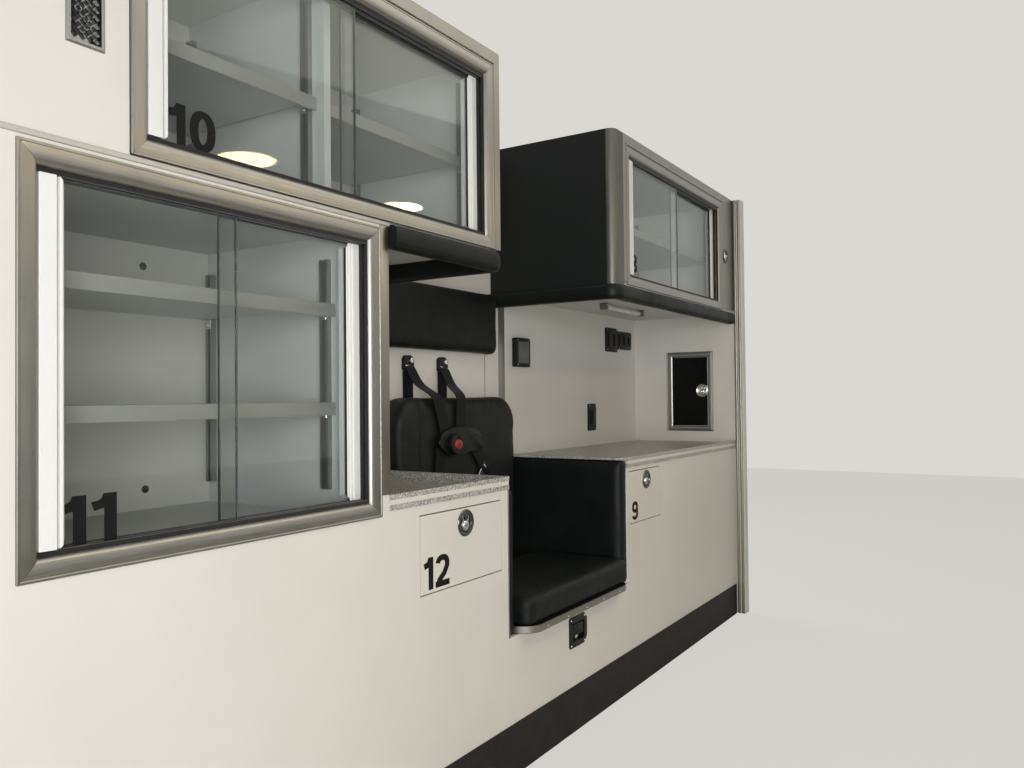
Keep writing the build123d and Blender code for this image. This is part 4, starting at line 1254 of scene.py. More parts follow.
def smooth_line(points: Sequence[Place], steps: int = 8) -> list[Vector]:
    """A smooth line through points.

    Args:
        points: The points to pass through.
        steps: Segments between two of them.

    Returns:
        The line's points.
    """
    spots = [Vector(spot) for spot in points]
    spots = [2 * spots[0] - spots[1], *spots, 2 * spots[-1] - spots[-2]]
    line = []
    for a, b, c, d in zip(spots, spots[1:], spots[2:], spots[3:]):
        bend = 2 * a - 5 * b + 4 * c - d
        twist = 3 * b - a - 3 * c + d
        for step in range(steps):
            t = step / steps
            line.append(0.5 * ((2 * b) + (c - a) * t + bend * t * t + twist * t ** 3))
    line.append(spots[-2])
    return line


@dataclass
class Pad:
    """A padded vinyl form: a foam block, its cover blown out against its seams.

    The outline lies across the axis, and the span runs along it from the hidden face to the shown one.
    """

    name: str
    node: str
    body: str
    slot: str
    finish: Finish
    outline: Sequence[Point]
    axis: int
    span: Point
    edge: float = 0.014
    crown: float = 0.010
    voxel: float = 0.006
    creases: Sequence[tuple[Place, Place]] = ()
    crease_depth: float = 0.004
    crease_width: float = 0.006
    fill: float = 0.85
    pressure: float = 4.0
    frames: int = 20
    smoothings: int = 3

    def build(self) -> None:
        """Builds the pad."""
        thing = self.block()
        self.remesh(thing)
        self.inflate(thing)
        self.crease(thing)
        smooth = thing.modifiers.new("smooth", "SUBSURF")
        smooth.levels = 1
        smooth.render_levels = 1
        self.bake(thing)
        thing.data.materials.clear()
        thing.data.materials.append(self.finish.material())
        settle(thing, self.body, [self.node], 180.0)

    def spot(self, u: float, v: float, w: float) -> Vector:
        """A place from its outline position and its place along the pad's thickness."""
        order = {0: (w, u, v), 1: (u, w, v), 2: (u, v, w)}
        return Vector(order[self.axis])

    def block(self) -> Object:
        """The foam block: the outline with its edges rolled over, front and back."""
        mesh = bmesh.new()
        centre = (
            sum(u for u, _ in self.outline) / len(self.outline),
            sum(v for _, v in self.outline) / len(self.outline),
        )
        half = (
            max(abs(u - centre[0]) for u, _ in self.outline),
            max(abs(v - centre[1]) for _, v in self.outline),
        )
        rings = []
        for depth, inset in self.rolls():
            scale = (1 - inset / half[0], 1 - inset / half[1])
            rings.append([
                mesh.verts.new(self.spot(
                    centre[0] + (u - centre[0]) * scale[0], centre[1] + (v - centre[1]) * scale[1], depth,
                ))
                for u, v in self.outline
            ])
        join_rings(mesh, rings)
        mesh.faces.new(rings[0])
        mesh.faces.new(rings[-1])
        bmesh.ops.recalc_face_normals(mesh, faces=mesh.faces[:])
        data = bpy.data.meshes.new(self.name)
        mesh.to_mesh(data)
        mesh.free()
        thing = bpy.data.objects.new(self.name, data)
        bpy.context.scene.collection.objects.link(thing)
        return thing

    def rolls(self) -> list[Point]:
        """(depth, inset) of each ring, from the hidden face to the shown one."""
        hidden, shown = self.span
        way = 1.0 if shown > hidden else -1.0
        steps, cut, inset = 6, 4 * MM, 0.5 * MM
        rolls = [(hidden, cut), (hidden + way * cut, inset)]
        for step in range(steps + 1):
            angle = math.pi / 2 * step / steps
            rolls.append((
                shown - way * (self.crown * 0.5 + self.edge * (1 - math.sin(angle))),
                self.edge * (1 - math.cos(angle)),
            ))
        return rolls

    def remesh(self, thing: Object) -> None:
        """Gives the block an even mesh.

        Args:
            thing: The pad.
        """
        change = thing.modifiers.new("even", "REMESH")
        change.mode = "VOXEL"
        change.voxel_size = self.voxel
        self.bake(thing)

    def bake(self, thing: Object) -> None:
        """Applies the pad's modifiers to its mesh.

        Args:
            thing: The pad.
        """
        shape = bpy.data.meshes.new_from_object(thing.evaluated_get(bpy.context.evaluated_depsgraph_get()))
        old = thing.data
        thing.modifiers.clear()
        thing.data = shape
        bpy.data.meshes.remove(old)
        thing.data.name = self.name

    def inflate(self, thing: Object) -> None:
        """Blows the cover out by cloth simulation and caps how far a point may move.

        Args:
            thing: The pad.
        """
        start = [vert.co.copy() for vert in thing.data.vertices]
        cloth = thing.modifiers.new("cloth", "CLOTH")
        cloth.settings.quality = 5
        cloth.settings.use_pressure = True
        cloth.settings.uniform_pressure_force = self.pressure
        cloth.settings.effector_weights.gravity = 0.0
        cloth.point_cache.frame_start = 1
        cloth.point_cache.frame_end = self.frames
        scene = bpy.context.scene
        for number in range(1, self.frames + 1):
            scene.frame_set(number)
        self.bake(thing)
        scene.frame_set(1)
        hidden, shown = self.span
        for vert, before in zip(thing.data.vertices, start):
            move = vert.co - before
            if move.length > self.crown:
                move *= self.crown / move.length
            spot = before + move
            if (spot[self.axis] - hidden) * (shown - hidden) < 0:
                spot[self.axis] = hidden
            vert.co = spot
        self.refit(thing, start)

    def refit(self, thing: Object, start: Sequence[Vector]) -> None:
        """Smooths the blown cover and brings it back to the outline that it is sewn to.

        Args:
            thing: The pad.
            start: The block's points before the simulation.
        """
        mesh = bmesh.new()
        mesh.from_mesh(thing.data)
        for _ in range(self.smoothings):
            bmesh.ops.smooth_vert(
                mesh, verts=mesh.verts[:], factor=0.5, use_axis_x=True, use_axis_y=True, use_axis_z=True,
            )
        for axis in {0, 1, 2} - {self.axis}:
            was = [spot[axis] for spot in start]
            now = [vert.co[axis] for vert in mesh.verts]
            base, scale = min(now), (max(was) - min(was)) / (max(now) - min(now))
            for vert in mesh.verts:
                vert.co[axis] = min(was) + (vert.co[axis] - base) * scale
        mesh.to_mesh(thing.data)
        mesh.free()

    def crease(self, thing: Object) -> None:
        """Presses the sewn creases into the cover.

        Args:
            thing: The pad.
        """
        hidden, shown = self.span
        way = 1.0 if shown > hidden else -1.0
        for start, end in self.creases:
            a = Vector(start)
            run = Vector(end) - a
            for vert in thing.data.vertices:
                along = max(0.0, min(1.0, (vert.co - a).dot(run) / run.length_squared))
                away = vert.co - (a + run * along)
                away[self.axis] = 0.0
                if abs(vert.co[self.axis] - shown) > self.edge + self.crown:
                    continue
                dip = self.crease_depth * math.exp(-(away.length / self.crease_width) ** 2)
                vert.co[self.axis] -= way * dip


@dataclass
class Upholstery:
    """The bay's pads: seat cushion, backrest, head pad, side pads and bumper rolls."""

    board_corner: float = 60 * MM
    board_strip: float = 2 * MM
    board_screws: int = 5
    screw_margin: float = 90 * MM
    bolster: float = -0.165
    bolster_crease: Point = (0.007, 0.012)
    left_pad: float = 33.7 * MM
    left_pad_corner: Point = (0.154, 0.7277)
    right_pad: float = 49.7 * MM
    pad_corners: Sequence[float] = (0.010,) * 4
    roll_rise: float = 2.5 * MM
    roll_grow: float = 1.5 * MM
    roll_half: float = 22 * MM
    roll_turn: float = 23.5 * MM
    roll_squareness: float = 0.62

    def cushion(self) -> None:
        """Builds the seat cushion."""
        low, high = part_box("seat_cushion")
        inset = 2 * MM
        outline = rounded(
            (low.x + inset, low.y + inset), (high.x - inset, high.y), (0.028, 0.028, 0.012, 0.012), 10,
        )
        Pad(
            "seat_cushion_cover", "seat_cushion", "seat_lid", "charcoal_vinyl", CHARCOAL_VINYL,
            outline, 2, (low.z, high.z), edge=0.013, crown=0.006,
        ).build()

    def board(self) -> None:
        """Builds the seat board with its aluminium edge strip and the strip's screws."""
        low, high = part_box("seat_board")
        piece = Piece("seat_board_edged", "seat_lid", "brushed_aluminium", (ALUMINIUM_X, ABS_BLACK, CHROME))
        strip, corner_out = self.board_strip, self.board_corner
        corner_in = corner_out - strip
        outer = rounded((low.x, low.y), (high.x, high.y), (corner_out, corner_out, 0.0, 0.0), 12)
        inner = rounded(
            (low.x + strip, low.y + strip), (high.x - strip, high.y), (corner_in, corner_in, 0.0, 0.0), 12,
        )
        piece.upright(inner, lambda _: (low.z, high.z), 1)
        piece.upright(outer, lambda _: (low.z + 1.5 * MM, high.z - 1 * MM), 0)
        first, last = low.x + self.screw_margin, high.x - self.screw_margin
        for number in range(self.board_screws):
            x = first + number * (last - first) / (self.board_screws - 1)
            piece.screw((x, low.y + strip, low.z + 6.5 * MM), (0, -1, 0), 2.8 * MM, 2)
        piece.done(["seat_board"])

    def backrest(self) -> None:
        """Builds the backrest with its left bolster's crease."""
        low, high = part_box("backrest")
        inset, rise = 1 * MM, 4 * MM
        outline = rounded(
            (low.x + inset, low.z + inset), (high.x - inset, high.z + rise), (0.012, 0.012, 0.088, 0.088), 12,
        )
        face = low.y
        depth, width = self.bolster_crease
        Pad(
            "backrest_cover", "backrest", "root", "brown_vinyl", BROWN_VINYL,
            outline, 1, (high.y, face), edge=0.022, crown=0.007,
            creases=[((self.bolster, face, low.z), (self.bolster, face, high.z))],
            crease_depth=depth, crease_width=width,
        ).build()

    def head_pad(self) -> None:
        """Builds the head pad."""
        low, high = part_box("head_pad")
        inset = 3 * MM
        outline = rounded(
            (low.x + inset, low.z + inset), (high.x - inset, high.z - inset), (0.022, 0.022, 0.008, 0.008), 8,
        )
        Pad(
            "head_pad_cover", "head_pad", "root", "charcoal_vinyl", CHARCOAL_VINYL,
            outline, 1, (high.y, low.y), edge=0.012, crown=0.006,
        ).build()

    def side_pads(self) -> None:
        """Builds the two side pads, the right one with its rolled front edge."""
        low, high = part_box("side_pads")
        left = rounded((FRONT + 2 * MM, low.z + 3 * MM), self.left_pad_corner, self.pad_corners, 5)
        Pad(
            "side_pad_left", "side_pads", "root", "charcoal_vinyl", CHARCOAL_VINYL,
            left, 0, (low.x, low.x + self.left_pad), edge=0.010, crown=0.004,
        ).build()
        right = rounded(
            (low.y + 2 * MM, low.z + 8 * MM), (high.y - 2 * MM, high.z - 2 * MM), self.pad_corners, 5,
        )
        Pad(
            "side_pad_right", "side_pads", "root", "charcoal_vinyl", CHARCOAL_VINYL,
            right, 0, (high.x, high.x - self.right_pad), edge=0.018, crown=0.005,
        ).build()

    def bumpers(self) -> None:
        """Builds the two bumper rolls under the upper cabinets."""
        low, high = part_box("bumper_pads")
        z = (low.z + high.z) / 2 + self.roll_rise
        half = ((high.z - low.z) / 2 + self.roll_grow, self.roll_half)
        angles = [2 * math.pi * number / 28 for number in range(28)]
        section = [
            tuple(
                reach * sign(wave) * abs(wave) ** self.roll_squareness
                for reach, wave in zip(half, (math.sin(angle), math.cos(angle)))
            )
            for angle in angles
        ]
        y = low.y + self.roll_half + 0.5 * MM
        # Name, x of the level run's end, of a point along it and of the leg back, and the run's side
        table = [
            ("bumper_roll_rear", -0.7635, -0.56, -0.3575, -1),
            ("bumper_roll_fore", 1.5295, 0.9, 0.3405, 1),
        ]
        for name, end, along, leg, way in table:
            path = [(end, y, z), (along, y, z), *corner((leg, y), (way, 1), self.roll_turn, z)]
            path += [(leg, 0.1, z), (leg, BACK - 2 * MM, z)]
            piece = Piece(name, "root", "charcoal_vinyl", (CHARCOAL_VINYL,))
            piece.tube(path, section, (0, 0, 1))
            thing = piece.done(["bumper_pads"], smooth=60.0)

    def build(self) -> None:
        """Builds all the pads."""
        self.board()
        self.cushion()
        self.backrest()
        self.head_pad()
        self.side_pads()
        self.bumpers()


def corner(spot: Point, way: Point, turn: float, height: float) -> list[Place]:
    """A level round corner from a run along X into a run along Y.

    Args:
        spot: Where the two runs would meet.
        way: The side of the corner that each run lies on, as signs in X and Y.
        turn: The corner's radius.
        height: Its height.

    Returns:
        Its points.
    """
    points = []
    for step in range(11):
        angle = math.pi / 2 * step / 10
        x = spot[0] + way[0] * turn * (1 - math.sin(angle))
        y = spot[1] + way[1] * turn * (1 - math.cos(angle))
        points.append((x, y, height))
    return points


def sign(value: float) -> float:
    """-1 or 1, as the value's sign."""
    return -1.0 if value < 0 else 1.0


@dataclass
class Harness:
    """The seat harness: webbing, wall anchors, buckle pad and tongue."""

    width: float = 46 * MM
    thick: float = 2.4 * MM
    columns: int = 6
    middle: Point = (-0.018, 0.825)
    pad_back: float = 0.1444
    pad_thick: float = 12 * MM
    hub_shift: float = 25 * MM
    tongue_turn: float = 38.0

    def strap(self, name: str, points: Sequence[Place]) -> None:
        """Builds one strap with its run as a texture map.

        Args:
            name: The piece's name.
            points: The middle line's points.
        """
        line = smooth_line(points)
        piece = Piece(name, "root", "black_webbing", (WEBBING,))
        layer = piece.mesh.loops.layers.uv.new("Run")
        lengths = [0.0]
        for a, b in zip(line, line[1:]):
            lengths.append(lengths[-1] + (b - a).length)
        rows = []
        for number, spot in enumerate(line):
            ahead = line[min(number + 1, len(line) - 1)] - line[max(number - 1, 0)]
            run = ahead.normalized()
            across = (Vector((1, 0, 0)) - run * run.x).normalized()
            up = run.cross(across).normalized()
            row = []
            for column in range(self.columns + 1):
                offset = (column / self.columns - 0.5) * self.width
                row.append((
                    piece.mesh.verts.new(spot + across * offset + up * self.thick / 2), offset,
                    piece.mesh.verts.new(spot + across * offset - up * self.thick / 2),
                ))
            rows.append(row)

        def face(corners: list[tuple[BMVert, float, float]]) -> None:
            """Adds a face.

            Args:
                corners: Each corner's point, its place across the strap and its place along it.
            """
            made = piece.mesh.faces.new([vert for vert, _, _ in corners])
            for loop, (_, across, along) in zip(made.loops, corners):
                loop[layer].uv = (across, along)

        for here, there, start, stop in zip(rows, rows[1:], lengths, lengths[1:]):
            for a, b, c, d in zip(here, here[1:], there[1:], there):
                face([(a[0], a[1], start), (b[0], b[1], start), (c[0], c[1], stop), (d[0], d[1], stop)])
                face([(d[2], d[1], stop), (c[2], c[1], stop), (b[2], b[1], start), (a[2], a[1], start)])
            for edge in (0, self.columns):
                a, d = here[edge], there[edge]
                face([(a[0], a[1], start), (d[0], d[1], stop), (d[2], d[1], stop), (a[2], a[1], start)])
        for row, along in ((rows[0], 0.0), (rows[-1], lengths[-1])):
            for a, b in zip(row, row[1:]):
                face([(a[0], a[1], along), (b[0], b[1], along), (b[2], b[1], along), (a[2], a[1], along)])
        piece.done(["harness_straps"], smooth=50.0)

    def anchors(self) -> None:
        """Builds the two wall anchors: moulded cover, chrome bolt and two small pins."""
        low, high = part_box("harness_anchors")
        half = 23 * MM
        front = BACK - 12 * MM
        bolt = [
            (0.010, 0.0), (0.010, 0.004), (0.0088, 0.0062), (0.0066, 0.0068), (0.006, 0.005), (0.0, 0.0045),
        ]
        pin = [(0.0022, 0.0), (0.0022, 0.0010), (0.0012, 0.0018), (0.0, 0.0020)]
        for name, x in (("left", low.x + half), ("right", high.x - half)):
            piece = Piece(f"anchor_{name}", "root", "black_plastic", (ABS_BLACK, CHROME))
            outline = rounded((x - half, low.z), (x + half, high.z), (0.006, 0.006, 0.016, 0.016), 6)
            piece.plate(outline, front, BACK - 0.3 * MM, 3 * MM)
            piece.lathe(bolt, (x + 7 * MM, front, low.z + 30 * MM), (0, -1, 0), 1, steps=28)
            for step in (-15 * MM, -8 * MM):
                piece.lathe(pin, (x + step, front, low.z + 14 * MM), (0, -1, 0), 1, steps=14)
            piece.done(["harness_anchors"])

    def buckle(self) -> None:
        """Builds the buckle on its pad, with its red button."""
        x, z = self.middle
        back, front = self.pad_back, self.pad_back - self.pad_thick
        piece = Piece("buckle_pad", "root", "black_plastic", (ABS_BLACK, RED_BUTTON))
        corners = [
            (-0.100, 0.007), (-0.082, -0.012), (-0.037, -0.035), (0.020, -0.035), (0.069, -0.026),
            (0.131, -0.021), (0.131, 0.006), (0.115, 0.036), (0.050, 0.049), (-0.010, 0.052), (-0.072, 0.038),
        ]
        closed = [(x + u, back, z + v) for u, v in corners]
        line = smooth_line([*closed, closed[0]], 5)[:-1]
        piece.plate([(spot.x, spot.z) for spot in line], front, back, 4.5 * MM)
        hub = [
            (0.033, 0.0), (0.033, 0.013), (0.0305, 0.0172), (0.027, 0.018), (0.0215, 0.0172), (0.02, 0.0155),
            (0.0, 0.015),
        ]
        hub_x = x - self.hub_shift
        piece.lathe(hub, (hub_x, front, z), (0, -1, 0), 0, steps=48)
        button = [(0.0160, 0.0150), (0.0158, 0.0195), (0.0140, 0.0216), (0.0070, 0.0222), (0.0, 0.0222)]
        piece.lathe(button, (hub_x, front, z), (0, -1, 0), 1, steps=36, stretch=1.22)
        piece.block(
            (hub_x - 0.008, back - 0.0345, z - 0.0016), (hub_x + 0.008, back - 0.0335, z + 0.0016), 0.0005,
        )
        piece.done(["harness_buckle"])

    def tongue(self) -> None:
        """Builds the tongue at the lap belt's end: a chrome plate in a moulded grip, hanging aslant."""
        low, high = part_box("harness_buckle")
        centre = Vector((high.x - 0.020, 0.1462, low.z + 0.026))
        piece = Piece("lap_tongue", "root", "polished_chrome", (CHROME, ABS_BLACK))
        outline = rounded((-0.021, -0.034), (0.021, 0.010), (0.012, 0.012, 0.003, 0.003), 5)
        piece.plate(outline, -0.0012, 0.0012, 0.0006)
        piece.block((-0.026, -0.0042, -0.004), (0.026, 0.0042, 0.026), 0.0030, 1, 3)
        piece.block((-0.019, -0.0050, 0.008), (0.019, 0.0050, 0.014), 0.0008, 0)
        turn = Matrix.Rotation(math.radians(self.tongue_turn), 3, "Y")
        for vert in piece.mesh.verts:
            vert.co = centre + turn @ vert.co
        piece.done(["harness_buckle"])

    def build(self) -> None:
        """Builds the harness: the straps along their routes, then what they end in."""
        # A strap's y at its anchor, over the backrest's top, below that, on its face, at the pad and the lap
        wall, over, crest, front, pad, lap = 0.236, 0.205, 0.152, 0.147, 0.146, 0.150
        x, z = self.middle
        routes = {
            "shoulder_left": [
                (-0.124, wall, 1.060), (-0.118, over, 1.010), (-0.108, crest, 0.972), (-0.090, front, 0.930),
                (x - 0.046, pad, z + 0.026),
            ],
            "shoulder_right": [
                (0.049, wall, 1.060), (0.044, over, 1.010), (0.019, crest, 0.972), (0.015, front, 0.930),
                (x + 0.026, pad, z + 0.026),
            ],
            "lap_left": [
                (x - 0.072, pad, z - 0.005), (-0.097, 0.148, 0.735),
                (-0.117, lap, 0.618), (-0.131, lap, 0.480),
            ],
            "lap_right": [(x + 0.104, pad, z - 0.010), (0.117, front, 0.780), (0.137, 0.148, 0.750)],
            "drop_left": [(-0.124, 0.244, 1.0515), (-0.121, 0.246, 0.9655)],
            "drop_right": [(0.049, 0.244, 1.0515), (0.052, 0.246, 0.9655)],
        }
        for name, points in routes.items():
            self.strap(f"strap_{name}", points)
        self.anchors()
        self.buckle()
        self.tongue()


@dataclass
class Fittings:
    """Small fittings: lamp, plates, seat latch, door surround, trims, hinges, clips, screws and strips."""

    proud: float = 0.3 * MM
    latch_size: Point = (0.110, 0.090)
    latch_cut: float = 18 * MM
    nose: float = 26 * MM
    skin: float = 3 * MM
    flutes: Sequence[float] = (0.380, 0.391, 0.402)
    bead: float = 6 * MM

    def lamp(self) -> None:
        """Builds the tube lamp: frosted tube, end caps and brackets."""
        low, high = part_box("tube_lamp")
        z = high.z - 14 * MM
        piece = Piece("tube_lamp_dressed", "root", "lamp_lens", (DIFFUSER, CHROME, PLATE_GREY))
        length = high.x - low.x
        # Tube and its two end caps: start and end along the lamp, radius, finish
        table = [
            (0.030, length - 0.030, 0.0092, 0),
            (0.012, 0.034, 0.0100, 1),
            (length - 0.034, length - 0.012, 0.0100, 1),
        ]
        for start, stop, radius, index in table:
            outline = [
                (0.0, start), (radius * 0.8, start), (radius, start + 0.002), (radius, stop - 0.002),
                (radius * 0.8, stop), (0.0, stop),
            ]
            piece.lathe(outline, (low.x, 0.030, z), (1, 0, 0), index, steps=28)
        for x in (low.x, high.x - 0.020):
            piece.block((x, 0.0165, high.z - 0.0255), (x + 0.020, 0.0435, high.z - self.proud), 0.002, 2)
            piece.screw((x + 0.010, 0.0165, high.z - 0.007), (0, -1, 0), 0.003, 1)
        piece.done(["tube_lamp"])

    def plates(self) -> None:
        """Builds the switch and outlet plates on the wall."""
        # Left edge, bottom, width, height, depth, number of rockers
        table = [
            (0.482, 1.079, 0.096, 0.107, 0.020, 1),
            (1.259, 1.168, 0.115, 0.107, 0.008, 2),
            (1.378, 1.183, 0.149, 0.082, 0.008, 3),
            (1.080, 0.822, 0.070, 0.114, 0.007, 1),
        ]
        for number, (x, z, wide, tall, deep, rockers) in enumerate(table):
            inner, margin = (PLATE_GREY, 0.13) if number == 0 else (GLOSS_BLACK, 0.24)
            piece = Piece(f"switch_plate_{number + 1}", "root", "black_plastic", (ABS_BLACK, CHROME, inner))
            outline = rounded((x, z), (x + wide, z + tall), (0.006,) * 4, 5)
            piece.plate(outline, BACK - deep, BACK - self.proud, 0.0022)
            step = wide / rockers
            for rocker in range(rockers):
                left = x + rocker * step + step * margin
                right = x + (rocker + 1) * step - step * margin
                low = (left, BACK - deep - 0.0028, z + tall * margin)
                high = (right, BACK - deep + 0.001, z + tall * (1 - margin))
                piece.block(low, high, 0.0016, 2)
            for sx, sz in ((0.09, 0.08), (0.91, 0.08), (0.09, 0.92), (0.91, 0.92)):
                piece.screw((x + wide * sx, BACK - deep, z + tall * sz), (0, -1, 0), 0.0026, 1)
            piece.done(["wall_plates"])

    def seat_latch(self) -> None:
        """Builds the seat latch: clipped plate, recessed cup, lift paddle and corner screws."""
        low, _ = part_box("seat_latch")
        x, z = low.x, low.z
        wide, tall = self.latch_size
        cut = self.latch_cut
        y = FRONT
        outline = [
            (x + 0.006, z), (x + wide - cut, z), (x + wide, z + cut), (x + wide, z + tall - cut),
            (x + wide - cut, z + tall), (x + 0.006, z + tall), (x, z + tall - 0.006), (x, z + 0.006),
        ]
        piece = Piece("seat_latch_dressed", "root", "black_plastic", (ABS_BLACK, CHROME))
        hole = [(x + u, z + v) for u, v in ((0.019, 0.017), (0.091, 0.017), (0.091, 0.070), (0.019, 0.070))]
        front, back = y - 0.003, y - 0.0002
        self.ring(piece, outline, hole, front, back)
        piece.block((x + 0.013, y + 0.013, z + 0.011), (x + 0.097, y + 0.0198, z + 0.076), 0.001)
        piece.block((x + 0.023, y - 0.002, z + 0.032), (x + 0.087, y + 0.013, z + 0.066), 0.003)
        piece.block((x + 0.030, y - 0.0035, z + 0.036), (x + 0.080, y - 0.001, z + 0.041), 0.001)
        for sx, sz in ((0.009, 0.009), (0.009, 0.081), (0.092, 0.008), (0.092, 0.082)):
            piece.screw((x + sx, front, z + sz), (0, -1, 0), 0.0034, 1)
        piece.block((x + 0.046, y + 0.004, z + 0.019), (x + 0.064, y + 0.012, z + 0.030), 0.001, 1)
        piece.done(["seat_latch"])

    def ring(
        self,
        piece: Piece,
        outline: Sequence[Point],
        hole: Sequence[Point],
        front: float,
        back: float,
    ) -> None:
        """Adds a plate with a rectangular hole, as a bevelled outer wall and a flat face.

        Args:
            piece: The piece to add to.
            outline: The outer (x, z) points.
            hole: The hole's (x, z) points.
            front: The y of the face.
            back: The y of the plate's back.
        """
        mesh = piece.mesh
        lip = 1.2 * MM
        centre = (sum(u for u, _ in outline) / len(outline), sum(v for _, v in outline) / len(outline))
        inner = [(u + (centre[0] - u) * 0.03, v + (centre[1] - v) * 0.035) for u, v in outline]
        rows = [
            [mesh.verts.new((u, back, v)) for u, v in outline],
            [mesh.verts.new((u, front + lip, v)) for u, v in outline],
            [mesh.verts.new((u, front, v)) for u, v in inner],
        ]
        join_rings(mesh, rows)
        edge = [mesh.verts.new((u, front, v)) for u, v in hole]
        deep = [mesh.verts.new((u, back + 12 * MM, v)) for u, v in hole]
        join_rings(mesh, [edge, deep])
        loop = [mesh.edges.get(pair) for line in (rows[2], edge) for pair in zip(line, line[1:] + line[:1])]
        bmesh.ops.triangle_fill(mesh, use_beauty=True, edges=loop)

    def pass_ring(self) -> None:
        """Builds the pass-through door's mitred aluminium surround."""
        low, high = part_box("pass_frame")
        deep = (high.x - low.x) / MM
        section = [
            (0.0, deep), (0.0, 2.2), (0.6, 1.2), (2.2, 0.8), (3.0, 1.5), (4.0, 1.5), (5.0, 0.4), (6.4, 0.0),
            (17.5, 0.0), (19.0, 0.5), (22.6, 3.4), (24.0, 3.8), (24.4, 4.4), (24.4, deep),
        ]
        piece = Piece("pass_surround", "root", "brushed_aluminium", (ALUMINIUM_Y, ALUMINIUM_Z))
        bar = [(u * MM, v * MM) for u, v in section]
        mitred(piece, (low.y, low.z), (high.y, high.z), bar, lambda y, z, depth: (low.x + depth, y, z))
        piece.done(["pass_frame"], smooth=25.0)

    def trims(self) -> None:
        """Builds the wall trims: edge strips, a seam band painted in shade, fluted corner and end column."""
        strips = Piece("edge_strips", "root", "brushed_aluminium", (ALUMINIUM_Z,))
        strips.block((-0.7915, FRONT - 0.002, 0.7655), (-0.764, FRONT - 0.0001, 1.3268), 0.0008)
        strips.block((-0.308, FRONT - 0.002, 0.352), (-0.304, FRONT - 0.0001, 0.7308), 0.0006)
        strips.done(["trims"])
        # The seam band is painted shade: the wall's laminate, darkened where the seam's shadow falls.
        joint = Piece("jointing_strip", "root", "wall_laminate", (SEAM_SHADE,))
        joint.block((-1.6228, FRONT - 0.004, UPPER_BASE), (-0.7605, FRONT + 0.0115, 1.3357), 0.0018, steps=3)
        joint.done(["trims"])
        self.fluted_corner()
        self.end_column()

    def fluted_corner(self) -> None:
        """Builds the fore cabinet's corner extrusion: an angle with a round nose and three flutes."""
        low_x, high_x, near = 0.343, 0.413, FRONT - 4 * MM
        rear = near + 0.0298
        skin, nose = self.skin, self.nose
        outline: list[Point] = [(low_x, rear)]
        for step in range(11):
            angle = math.pi + math.pi / 2 * step / 10
            outline.append((low_x + nose + nose * math.cos(angle), near + nose + nose * math.sin(angle)))
        for flute in self.flutes:
            outline += [
                (flute - 0.0006, near), (flute, near + 0.0004), (flute + 0.0006, near + 0.0024),
                (flute + 0.0034, near + 0.0024), (flute + 0.0040, near + 0.0004), (flute + 0.0046, near),
            ]
        outline += [(high_x, near), (high_x, near + skin)]
        for step in range(11):
            angle = math.pi * 1.5 - math.pi / 2 * step / 10
            inner = nose - skin
            outline.append((low_x + nose + inner * math.cos(angle), near + nose + inner * math.sin(angle)))
        outline.append((low_x + skin, rear))
        # The corner's dark colour is painted shade on the aluminium.
        piece = Piece("fluted_corner", "root", "brushed_aluminium", (ALUMINIUM_CORNER_SHADED,))
        piece.upright(outline, lambda _: (UPPER_BASE, TOP))
        piece.done(["trims"], smooth=22.0)

    def end_column(self) -> None:
        """Builds the wall-coloured column against the front wall, with a bright bead on each edge."""
        face, back = 1.575, 1.5828
        low_y, high_y = -0.2680, -0.2355
        piece = Piece("end_column", "root", "wall_laminate", (WALL, ALUMINIUM_Z))
        foot, margin = 0.5 * MM, 7.5 * MM
        piece.block((face, low_y, foot), (back, high_y, TOP), 1.5 * MM)
        angles = [2 * math.pi * number / 20 for number in range(20)]
        bead = [(self.bead * math.cos(angle), self.bead * math.sin(angle)) for angle in angles]
        for y in (low_y + margin, high_y - margin):
            piece.tube([(face, y, foot), (face, y, TOP)], bead, (1, 0, 0), 1)
        piece.done(["trims"])

    def hinges(self) -> None:
        """Builds the piano hinges: a pin in alternating knuckles along each barrel."""
        # Name, middle of the pin's start, direction, length, radius, knuckle length
        table = [
            ("hinge_10", (-1.352, -0.235, 1.8065), (1, 0, 0), 0.990, 0.0030, 0.022),
            ("hinge_fore", (0.438, -0.235, 1.8065), (1, 0, 0), 0.990, 0.0030, 0.022),
            ("hinge_12", (-0.666, -0.2288, 0.5315), (1, 0, 0), 0.329, 0.0012, 0.016),
            ("hinge_9", (0.440, -0.2288, 0.5425), (1, 0, 0), 0.266, 0.0012, 0.016),
            ("hinge_pass", (1.5797, 0.0858, 0.805), (0, 0, 1), 0.363, 0.0025, 0.016),
        ]
        for name, start, way, length, radius, knuckle in table:
            piece = Piece(name, "root", "brushed_aluminium", (ALUMINIUM_X,))
            count = round(length / knuckle)
            step = length / count
            outline: list[Point] = [(0.0, 0.0)]
            for number in range(count):
                at = number * step
                outline += [
                    (radius * 0.72, at + 0.0004), (radius, at + 0.0010), (radius, at + step - 0.0010),
                    (radius * 0.72, at + step - 0.0004),
                ]
            outline.append((0.0, length))
            piece.lathe(outline, start, way, 0, steps=14)
            piece.done(["piano_hinges"], smooth=30.0)

    def clips(self) -> None:
        """Builds the chrome shelf clips and the lip screws."""
        # Shelf, the x of the walls that it runs between, its top
        table = [
            ("11_high", (-1.469, -0.842), 1.162), ("11_low", (-1.469, -0.842), 0.959),
            ("10_left", (-1.346, -0.892), 1.576), ("10_right", (-0.874, -0.353), 1.576),
            ("fore", (0.361, 1.583), 1.572),
        ]
        for name, walls, top in table:
            self.lip(f"lip_{name}", walls, top)
            piece = Piece(f"clips_{name}", "root", "polished_chrome", (CHROME,))
            for wall, way in zip(walls, (1.0, -1.0)):
                for y in (-0.131, 0.233):
                    x = wall + way * 0.0122
